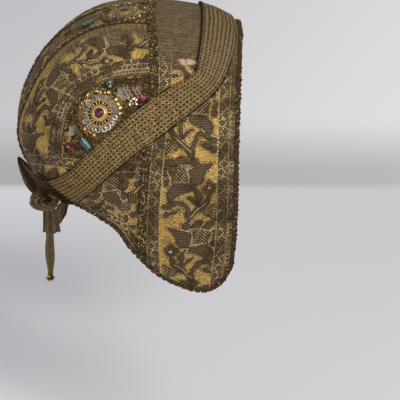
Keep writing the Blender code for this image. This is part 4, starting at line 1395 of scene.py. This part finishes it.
def bezel_grains(chance):
    """The stone's gold ring, with one row of long grains and one of round grains about it."""
    bezel = Bundle()
    bezel.put(turned(BEZEL_OUTLINE, 44), tone=0.6)
    # A dark wire ring in the dip between the ring's two lips: painted shade for that dip
    bezel.put(wire_ring(4.05, 0.2, 44, 6), (0, 0, 1.75), tone=0.1)
    points, faces = ball(0.44, 5, 8)
    grain = points * np.array([2.1, 1.0, 1.0]), faces
    for k in range(20):
        degrees = 360 * (k + chance.uniform(-0.15, 0.15)) / 20
        at = polar(LONG_GRAINS, degrees, 1.05)
        bezel.put(grain, at, math.radians(degrees), 0.25, tone=chance.uniform(0.35, 1.0))
    for k in range(30):
        at = polar(ROUND_GRAINS + chance.uniform(-0.25, 0.25), 360 * (k + 0.5) / 30, 0.85)
        bezel.put(ball(0.4, 4, 7), at, tone=chance.uniform(0.0, 1.0))
    return bezel


def silver_gauze(chance, dull):
    """A pleated ring of mesh under fine threads that stand out from the stone like rays."""
    mesh = Bundle()
    mesh.put(gauze_fan(34, 1.1, 0.35), tone=0.3 - dull)
    for k in range(GAUZE_THREADS):
        degrees = 360 * (k + chance.uniform(-0.4, 0.4)) / GAUZE_THREADS
        spots = (
            polar(chance.uniform(6.6, 7.2), degrees, 0.9), polar(8.6, degrees + chance.uniform(-2, 2), 1.15),
            polar(chance.uniform(9.8, 11.2), degrees + chance.uniform(-3, 3), 0.5))
        mesh.bend(spots, 6, 0.17, UP, chance.uniform(0.1, 1.1) - dull)
    return mesh


def wire_loops(chance, dull):
    loops = Bundle()
    ring = open_ring(1.15, 0.27, 0.75)
    for degrees, bright in WIRE_LOOPS:
        at = polar(chance.uniform(8.9, 9.5), degrees + chance.uniform(-3, 3), 1.55)
        loops.put(ring, at, math.radians(degrees) + chance.uniform(-0.4, 0.4), chance.uniform(-0.3, 0.4),
                  chance.uniform(0.85, 1.1), bright - dull)
    return loops


def sequins(chance, arc, dull):
    """Cupped gold spangles along an arc, with small coils outside them."""
    spangles = Bundle()
    cup = turned(SPANGLE_OUTLINE, 12)
    coil = wire_ring(0.62, 0.2, 9, 4)
    start, reach = arc[0], arc[1] - arc[0]
    count = int(reach / 9.4)
    for k in range(count):
        degrees = start + reach * (k + chance.uniform(0.2, 0.8)) / count
        bright = 0.3 if 125 <= degrees <= 235 else 0.75
        at = polar(SPANGLES + chance.uniform(-0.5, 0.6), degrees, 0.95)
        spangles.put(cup, at, math.radians(degrees), chance.uniform(-1.0, 0.8), chance.uniform(0.6, 0.95),
                     bright + chance.uniform(-0.7, 0.5) - dull)
    for k in range(count * 2):
        degrees = start + reach * (k + chance.uniform(0, 1)) / count / 2
        at = polar(COILS + chance.uniform(-0.3, 0.6), degrees, 0.7)
        spangles.put(coil, at, math.radians(degrees), chance.uniform(-1.2, 1.2), 1.0,
                     chance.uniform(-0.3, 0.5) - dull)
    return spangles


def loose_strands(chance, arc, dull):
    """Gold thread ends that stray outwards past the spangles."""
    strands = Bundle()
    for degrees in np.arange(*arc, 2.6):
        spots = (
            polar(10.2, degrees, 0.5), polar(12.2, degrees + chance.uniform(-2, 2), 1.0),
            polar(chance.uniform(13.2, 14.6), degrees + chance.uniform(-4, 4), 0.45))
        strands.bend(spots, 6, 0.2, UP, chance.uniform(-0.1, 0.9) - dull)
    return strands


def add_medallion(name, place, arcs, seed, mirror=False, dull=0.0):
    """Garnet in a gold ring and grains, silver mesh and wire loops, and an arc of spangles."""
    chance = np.random.default_rng(seed)
    pieces = (
        ("cabochon", cabochon(), GARNET, "stone", "garnet"),
        ("grains", bezel_grains(chance), BRONZE if dull else BEZEL_GOLD, "bezel", "gold"),
        ("gauze", silver_gauze(chance, dull), GAUZE, "plate", "silver_thread"),
        ("wire_loops", wire_loops(chance, dull), BRONZE if dull else SILVER, "plate", "silver_thread"),
        ("sequins", sequins(chance, arcs[0], dull), GOLD, "spangles", "gold"),
        ("strands", loose_strands(chance, arcs[1], dull), BRONZE if dull else AMBER, "spangles", "gold"))
    for suffix, bundle, material, node, slot in pieces:
        bundle.build(f"{name}_{suffix}", material, slot, f"{name}_{node}", place, mirror)


def add_medallions():
    side_place = seat_on_head(station(*MEDALLION_AT))
    for side, mirror in SIDES:
        add_medallion("medallion_" + side, side_place, (SPANGLE_ARC, STRAND_ARC), 5, mirror)
    crown_place = seat_on_head(arch(CROWN_MEDALLION_ANGLE, 0.0))
    add_medallion("medallion_crown", crown_place, (FULL_RING, FULL_RING), 8, dull=CROWN_DULL)


def blade(length, width, cup, fold):
    """A pointed leaf along X, cupped along its length and folded down its middle."""
    steps, across = 12, 7
    along = np.linspace(-1, 1, steps)[:, None]
    half = width / 2 * (1 - np.abs(along) ** 2.4) ** 0.8 + 0.05
    w = np.linspace(-1, 1, across)
    z = cup * along ** 2 + fold * np.abs(w) + 0.08 * np.sin(along * 9) * w
    low = np.stack([along * length / 2 + 0 * w, half * w, z], -1).reshape(-1, 3)
    top = low + np.array([0.0, 0.0, 0.12])
    under = grid_faces(steps, across, len(top), flip=True)
    return np.concatenate([top, low]), np.concatenate([grid_faces(steps, across), under])


def wavy_thread(bundle, start, end, height, swing, waves, radius, tone):
    """A crinkled thread from one place to another."""
    t = np.linspace(0, 1, int(waves * 8) + 1)
    start, end = np.array(start, float), np.array(end, float)
    side = unit(np.array([start[1] - end[1], end[0] - start[0]]))
    flat = start + (end - start) * t[:, None] + side * (swing * np.sin(2 * math.pi * waves * t))[:, None]
    lift = height + 0.6 * np.sin(math.pi * t) + 0.2 * np.cos(2 * math.pi * waves * t)
    bundle.tube(np.concatenate([flat, lift[:, None]], 1), radius, UP, tone, sides=5)


def flower(bundle, at, petals, length, width, chance, tone):
    """A small flower of cupped foil petals round a place."""
    petal = blade(length, width, 0.5, 0.35)
    for k in range(petals):
        degrees = 360 * (k + chance.uniform(-0.2, 0.2)) / petals
        spot = polar(length * 0.42, degrees, 0.75 + chance.uniform(0, 0.3), at)
        bundle.put(petal, spot, math.radians(degrees), chance.uniform(-0.5, -0.1), chance.uniform(0.85, 1.1),
                   tone + chance.uniform(-0.35, 0.35))


# Small applied pieces of each side: x, degrees round
APPLIED = {
    "silver_spray_upper": (-8.4, 52.2),
    "magenta_leaf_upper": (-3.0, 53.5),
    "teal_leaf_upper": (-19.5, 46.9),
    "silver_spray_lower": (-40.2, 68.6),
    "magenta_leaf_lower": (-42.2, 73.4),
    "teal_leaf_lower": (-33.2, 71.9),
    "red_bead": (-3.6, 76.4),
}
# The foil leaves of the crown: degrees of the profile, sideways
CROWN_TEAL_AT = (117.0, -5.5)
CROWN_GOLD_AT = (127.5, -1.0)


def upper_spray(chance):
    """Mesh petals with long crinkled threads, a silk petal and ivory sequins beside them."""
    petals = Bundle()
    for k, degrees in enumerate((20, 80, 140, 200, 262, 320)):
        petals.put(blade(5.2, 3.3, 0.5, 0.5), polar(2.2, degrees, 0.8, (-4.2, 1.6)), math.radians(degrees),
                   -0.25, chance.uniform(0.85, 1.1), 0.2 + 0.12 * k)
    silk = Bundle()
    for k in range(8):
        x, y = -5.0 + k, 0.25 * k
        wavy_thread(silk, (x, 6.2 - y), (x + 4.0, y - 2.6), 1.3, 0.3, 3.2, 0.23, chance.uniform(-0.1, 1.1))
    silk.put(blade(6.2, 3.6, 0.4, 0.3), (3.4, 3.4, 1.0), math.radians(78), -0.1, 1.0, 0.15)
    ivory = Bundle()
    for _ in range(13):
        spot = (chance.uniform(-2.2, 2.8), chance.uniform(-4.8, -1.2), chance.uniform(1.2, 1.9))
        ivory.put(turned(SEQUIN_OUTLINE, 9), spot, chance.uniform(0, 6), chance.uniform(-0.7, 0.7), 1.0,
                  chance.uniform(0.1, 1.1))
    return (("mesh_petals", petals, PETAL, "silver_thread"), ("silk_threads", silk, SILK, "silver_thread"),
            ("sequins", ivory, IVORY, "silver_thread"))


def lower_spray(chance):
    """Mesh petals over a fan of gold strands."""
    petals = Bundle()
    for k, degrees in enumerate((15, 75, 135, 200)):
        petals.put(blade(5.0, 3.2, 0.5, 0.5), polar(2.0, degrees, 0.9, (1.0, 2.6)), math.radians(degrees),
                   -0.25, 1.0, 0.25 + 0.15 * k)
    fan = Bundle()
    hub = (-1.2, 0.2)
    for k in range(18):
        end = polar(4.8, 140 + 7.0 * k, 0.0, hub)[:2]
        wavy_thread(fan, hub, end, 0.8, 0.12, 1.0, 0.22, chance.uniform(-0.2, 0.9))
    return (("mesh_petals", petals, PETAL, "silver_thread"), ("gold_fan", fan, AMBER, "gold"))


def small_piece(name, chance):
    """The sub-parts of one applied piece: name, shape, look and slot."""
    if name == "silver_spray_upper":
        return upper_spray(chance)
    if name == "silver_spray_lower":
        return lower_spray(chance)
    made = Bundle()
    if name == "red_bead":
        made.put(ball(1.15, 8, 12), (0.0, 0.0, 1.2), tone=0.45)
        return [("round", made, RED, "garnet")]
    if name == "magenta_leaf_upper":
        flower(made, (0.3, 0.9), 4, 2.4, 1.8, chance, 0.6)
        flower(made, (-0.4, -1.8), 4, 2.4, 1.8, chance, -0.15)
    elif name == "magenta_leaf_lower":
        flower(made, (0.0, 0.0), 4, 2.4, 2.0, chance, 0.3)
    elif name == "teal_leaf_upper":
        flower(made, (0.0, 0.0), 3, 3.0, 1.9, chance, 0.4)
    else:
        leaf = blade(8.2, 1.9, 0.5, 0.45)
        for shift in (-0.9, 0.7):
            made.put(leaf, (shift * 0.6, shift, 1.0), math.radians(-48), 0.05, 1.0, 0.5 + shift / 3)
    if name.startswith("magenta"):
        return [("foil", made, MAGENTA, "magenta_foil")]
    return [("foil", made, TEAL, "teal_foil")]


def add_applied():
    """The sprays, foil leaves and beads beside the side medallions."""
    for side, mirror in SIDES:
        for name, where in APPLIED.items():
            chance = np.random.default_rng(len(name) * 7 + 3)
            place = seat_on_head(station(*where))
            for suffix, bundle, material, slot in small_piece(name, chance):
                bundle.build(f"{name}_{suffix}_{side}", material, slot, f"{name}_{side}", place, mirror)


def add_crown_leaves():
    chance = np.random.default_rng(31)
    teal = Bundle()
    for shift, degrees in ((-1.0, -8.0), (0.9, 8.0)):
        teal.put(blade(8.4, 3.5, 0.4, 0.3), (shift, shift, 0.9), math.radians(degrees), tone=0.25 + shift / 4)
    place = seat_on_head(arch(*CROWN_TEAL_AT))
    teal.build("teal_leaf_crown_foil", TEAL, "teal_foil", "teal_leaf_crown", place)
    gold = Bundle()
    flower(gold, (0.0, 0.0), 6, 4.2, 1.9, chance, 0.4)
    gold.put(blade(8.0, 3.0, 0.4, 0.4), (0.0, 0.0, 0.9), math.radians(-10), tone=0.3)
    place = seat_on_head(arch(*CROWN_GOLD_AT))
    gold.build("gold_leaf_crown_foil", BRONZE, "gold", "gold_leaf_crown", place)


# The tied ends of the ribbon: x, y, z, width, in the part's frame

LOOP_ROWS = np.array([
    (-61.8, 7.0, -110.8, 9.0), (-63.6, 6.0, -107.4, 11.0), (-66.6, 3.2, -102.0, 10.2),
    (-70.1, 0.4, -95.4, 6.8), (-73.0, -1.0, -89.4, 3.6), (-74.4, -1.0, -86.4, 1.2)], float)
FOLD_ROWS = np.array([
    (-57.6, 0.0, -118.6, 6.2), (-57.4, 0.0, -121.0, 7.4), (-56.8, 0.0, -126.5, 8.8),
    (-56.5, 0.0, -130.5, 9.6), (-56.4, 0.0, -133.8, 10.4)], float)
TAIL_ROWS = np.array([
    (-57.2, 0.0, -132.0, 4.6), (-57.5, 0.3, -138.0, 4.5), (-57.7, 0.2, -144.0, 5.3),
    (-57.5, 0.0, -150.5, 5.1), (-57.4, -0.2, -156.0, 3.6), (-57.6, -0.2, -161.0, 2.8)], float)
STUB_ROWS = np.array([
    (-44.6, -46.0, -90.4, 2.6), (-46.4, -45.0, -94.0, 4.2), (-48.0, -44.5, -97.6, 5.8),
    (-49.0, -44.2, -101.0, 6.2), (-49.5, -44.0, -104.0, 4.2), (-49.6, -44.0, -107.0, 1.2)], float)
# Mesh name, CAD piece, rows, thickness, pleats and their depth, cords, mesh rows, how far the
# pleats slant, how dark it is, and how much painted shade darkens its hollow
RIBBON_ENDS = (
    ("bow_loop_folds", "bow_loop", LOOP_ROWS, 2.0, 1.5, 0.8, 6, 40, 1.76709, 0.22, 0.12),
    ("bow_fold_pleats", "bow_fold", FOLD_ROWS, 1.3, 2.5, 1.1, 8, 30, 1.90952, -0.35, 0.0),
    ("bow_tail_folds", "bow_tail", TAIL_ROWS, 1.3, 1.0, 0.7, 4, 50, 0.29635, -0.3, 0.0),
    ("bow_stub_folds", "bow_stub", STUB_ROWS, 1.3, 0.75, 0.6, 3, 24, -1.58929, 0.32, 0.0))
# Each knot's centre, radii, rings of cord, depth of the grooves, and how dark it is
BOW_KNOT = (np.array([-60.5, 0.0, -113.3]), np.array([8.6, 7.6, 6.9]), 4, 0.07, 0.0)
TAIL_KNOT = (np.array([-57.6, -0.2, -162.6]), 2.1, 2, 0.1, -0.1)
KNOT_EYE = np.array([0.34, -0.86, 0.36])
SIDEWAYS = np.array([0.0, 1.0, 0.0])
# Two bright thread ends that curl out of the last knot
TAIL_CURLS = (
    ((-57.8, -1.8, -161.4), (-59.4, -2.2, -160.6), (-60.4, -1.8, -161.8), (-59.2, -1.6, -162.8)),
    ((-57.4, -2.2, -163.4), (-58.8, -2.6, -163.6), (-59.6, -2.0, -162.6)))


def add_ribbon_end(name, node, points, weave, groove_shade, shade, glint):
    """A closed length of ribbon from a grid of points and the marks of its cords."""
    flat = np.stack(np.broadcast_arrays(*weave, 0.0), -1)
    marks = {"weave": flat, "groove_shade": groove_shade, "shade": np.clip(shade, 0, 0.9), "glint": glint}
    add_mesh(name, points, lidded_faces(*points.shape[:2]), [RIBBON], "ribbon", node, marks)


def both_faces(near, far):
    """The marks of a ribbon's near face and then, backwards, of its far face."""
    return np.concatenate([near, far[:, ::-1]], axis=1)


def folded_end(name, node, rows, thickness, pleats, depth, cords, count, slant, dark, hollow):
    """A ribbon end along a line, wide in the XZ plane, with pleats and fine lengthwise cords.

    dark makes all of it darker, and hollow adds painted shade to its middle alone; painted shade also darkens
    the valleys of the pleats and the grooves between the cords.
    """
    line = curve(rows, count)
    centre, width = line[:, :3], line[:, 3:]
    ahead = np.gradient(centre, axis=0)
    side = unit(np.stack([-ahead[:, 2], 0 * ahead[:, 0], ahead[:, 0]], -1))
    w = np.linspace(-0.5, 0.5, cords * 6 + 1)[None]
    turn = np.linspace(0, 1, count)[:, None]
    pleat = np.sin(2 * math.pi * pleats * w + slant * turn)
    wave = depth * pleat * (0.75 + 0.25 * turn)
    cord = 0.5 + 0.5 * np.cos(2 * math.pi * cords * (w + 0.5))
    spread = width * w
    base = centre[:, None] + side[:, None] * spread[..., None]
    half = (thickness / 2 + 0.14 * cord)[..., None] * SIDEWAYS
    middle = base + wave[..., None] * SIDEWAYS
    groove_shade = both_faces(1 - cord + 0 * wave, 1 - cord + 0 * wave)
    # Painted shade in the valleys of the pleats and in the loop's hollow
    valley_shade = 0.5 + 0.5 * pleat
    within = hollow * smoothstep(0.36, 0.24, np.abs(w)) * smoothstep(1.0, 0.8, turn)
    shade = both_faces(0.4 * valley_shade + within, 0.4 * (1 - valley_shade) + within) + dark
    weave = both_faces(spread, spread), lengths(centre)[:, None]
    add_ribbon_end(
        name, node, both_faces(middle - half, middle + half), weave, 0.75 * groove_shade, shade, 0.5 * (1 - groove_shade))


def wound_knot(name, node, centre, radii, rings, depth, dark):
    """A knot of ribbon, whose cords wind round an eye in its side."""
    eye = unit(KNOT_EYE)
    across = unit(np.cross(eye, UP))
    over = np.cross(across, eye)
    tilt = np.linspace(0.02, math.pi - 0.02, rings * 8)[:, None]
    turn = np.linspace(0, 2 * math.pi, 65)[None, :-1]
    round_eye = np.cos(turn)[..., None] * across + np.sin(turn)[..., None] * over
    way = np.cos(tilt)[..., None] * eye + np.sin(tilt)[..., None] * round_eye
    reach = 1 / np.linalg.norm(way / radii, axis=-1)
    oval = tilt * np.hypot(0.7 * np.cos(turn), 1.3 * np.sin(turn))
    phase = rings * oval / math.pi * 2 + turn / math.pi + 0.3 * np.sin(turn + 0.6)
    cord = 0.5 + 0.5 * np.cos(2 * math.pi * phase)
    dent = np.exp(-tilt ** 2 * ((np.cos(turn) / 0.55) ** 2 + (np.sin(turn) / 0.2) ** 2))
    lap = 0.06 * np.sin(1.5 * turn + 2.2 * tilt)
    points = centre + way * (reach * (1 + lap - 0.22 * dent - depth * (1 - cord)))[..., None]
    shade = 0.75 * dent + 0.25 * smoothstep(0.02, 0.07, -lap) + dark
    add_ribbon_end(name, node, points, (6 * tilt, 7 * turn), 1 - cord, shade, 1.2 * cord)


def add_bow():
    """The knot behind the nape with its loop, pleated end, hanging tail and stub."""
    wound_knot("bow_knot_wound", "bow_knot", *BOW_KNOT)
    for end in RIBBON_ENDS:
        folded_end(*end)
    wound_knot("tail_knot_wound", "tail_knot", *TAIL_KNOT)
    curls = Bundle()
    for k, spots in enumerate(TAIL_CURLS):
        curls.bend(spots, 8, 0.42, -SIDEWAYS, 0.7 - 0.2 * k, sides=5)
    curls.build("tail_knot_gold_ends", GOLD, "gold", "tail_knot")


def dress_kept_nodes():
    """Give the CAD cords that stay in sight their looks."""
    for name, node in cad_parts.items():
        if "cord" in name or name == "edging":
            for slot in node.material_slots:
                slot.material = GIMP


# Camera, light and stage

ELEVATION = math.radians(25.0)
DISTANCE = 2000.0
LOOK_AT = Vector((28.5, 0.0, -113.5))
FLOOR_Z = -260.0
FLOOR_REACH = 4.0
# The camera's sensor width and lens, in millimetres of the camera
SENSOR = 36.0
LENS = 315.8
# Where both lamps point, in metres
LAMPS_AT = Vector((0.0, 0.0, -0.07))
SKY_COLOUR = (0.96, 0.98, 1.0, 1.0)
SKY_STRENGTH = 0.54


def add_camera():
    data = bpy.data.cameras.new("camera")
    data.sensor_width = SENSOR
    data.lens = LENS
    data.clip_start = 0.05
    data.clip_end = 50.0
    camera = add_object("camera", data)
    ahead = Vector((0.0, math.cos(ELEVATION), -math.sin(ELEVATION)))
    camera.location = (LOOK_AT - DISTANCE * ahead) * MM
    camera.rotation_euler = (math.pi / 2 - ELEVATION, 0.0, 0.0)
    bpy.context.scene.camera = camera


def stage_look():
    """A pale grey floor with painted light and shade: a band of painted shade behind the part, lightest
    beyond it and painted brighter to the right, and near the part painted lighter on the left, where the
    part's shadow falls.
    """
    look = Look("stage")
    across, away, _ = look.axes(look.position())
    # Beyond the part: painted light brightens the floor to the right, and a band of painted shade darkens it
    # just behind the part
    far = look.paint(
        tint(212, 208, 213), (across, -0.15, 0.25, 1.0, tint(237, 237, 237)),
        (away, 0.46, 0.35, 0.65, tint(160, 160, 161)))
    # Near the part: painted light makes the left side lighter, where the part's shadow falls
    near = look.mix(look.step(across, -0.1, 0.0), tint(222, 220, 224), tint(207, 206, 210))
    base = look.mix(look.step(away, 0.33, 0.343), near, far)
    return look.finish(base, 0.9)


def add_stage():
    mesh = bpy.data.meshes.new("floor")
    corners = [(-1, -1), (1, -1), (1, 1), (-1, 1)]
    points = [(x * FLOOR_REACH, y * FLOOR_REACH, FLOOR_Z * MM) for x, y in corners]
    mesh.from_pydata(points, [], [(0, 1, 2, 3)])
    mesh.materials.append(stage_look())
    add_object("floor", mesh)


def add_area(name, at, size, watts, colour):
    data = bpy.data.lights.new(name, "AREA")
    data.size = size
    data.energy = watts
    data.color = colour
    lamp = add_object(name, data)
    lamp.location = at
    lamp.rotation_euler = (LAMPS_AT - Vector(at)).to_track_quat("-Z", "Y").to_euler()


def add_lights():
    world = bpy.data.worlds.new("world")
    world.use_nodes = True
    sky = world.node_tree.nodes["Background"]
    sky.inputs["Color"].default_value = SKY_COLOUR
    sky.inputs["Strength"].default_value = SKY_STRENGTH
    bpy.context.scene.world = world
    add_area("key", (0.8, -1.3, 1.4), 0.8, 34.0, (1.0, 0.98, 0.95))
    add_area("fill", (-1.0, -1.4, 0.4), 1.2, 6.5, (0.97, 0.98, 1.0))
    bpy.context.scene.view_settings.view_transform = "Standard"


add_camera()
add_stage()
add_lights()
add_front_band()
add_sides()
add_crown_strip()
add_seams()
add_nape_loops()
add_tie_ribbon()
add_medallions()
add_applied()
add_crown_leaves()
add_bow()
dress_kept_nodes()
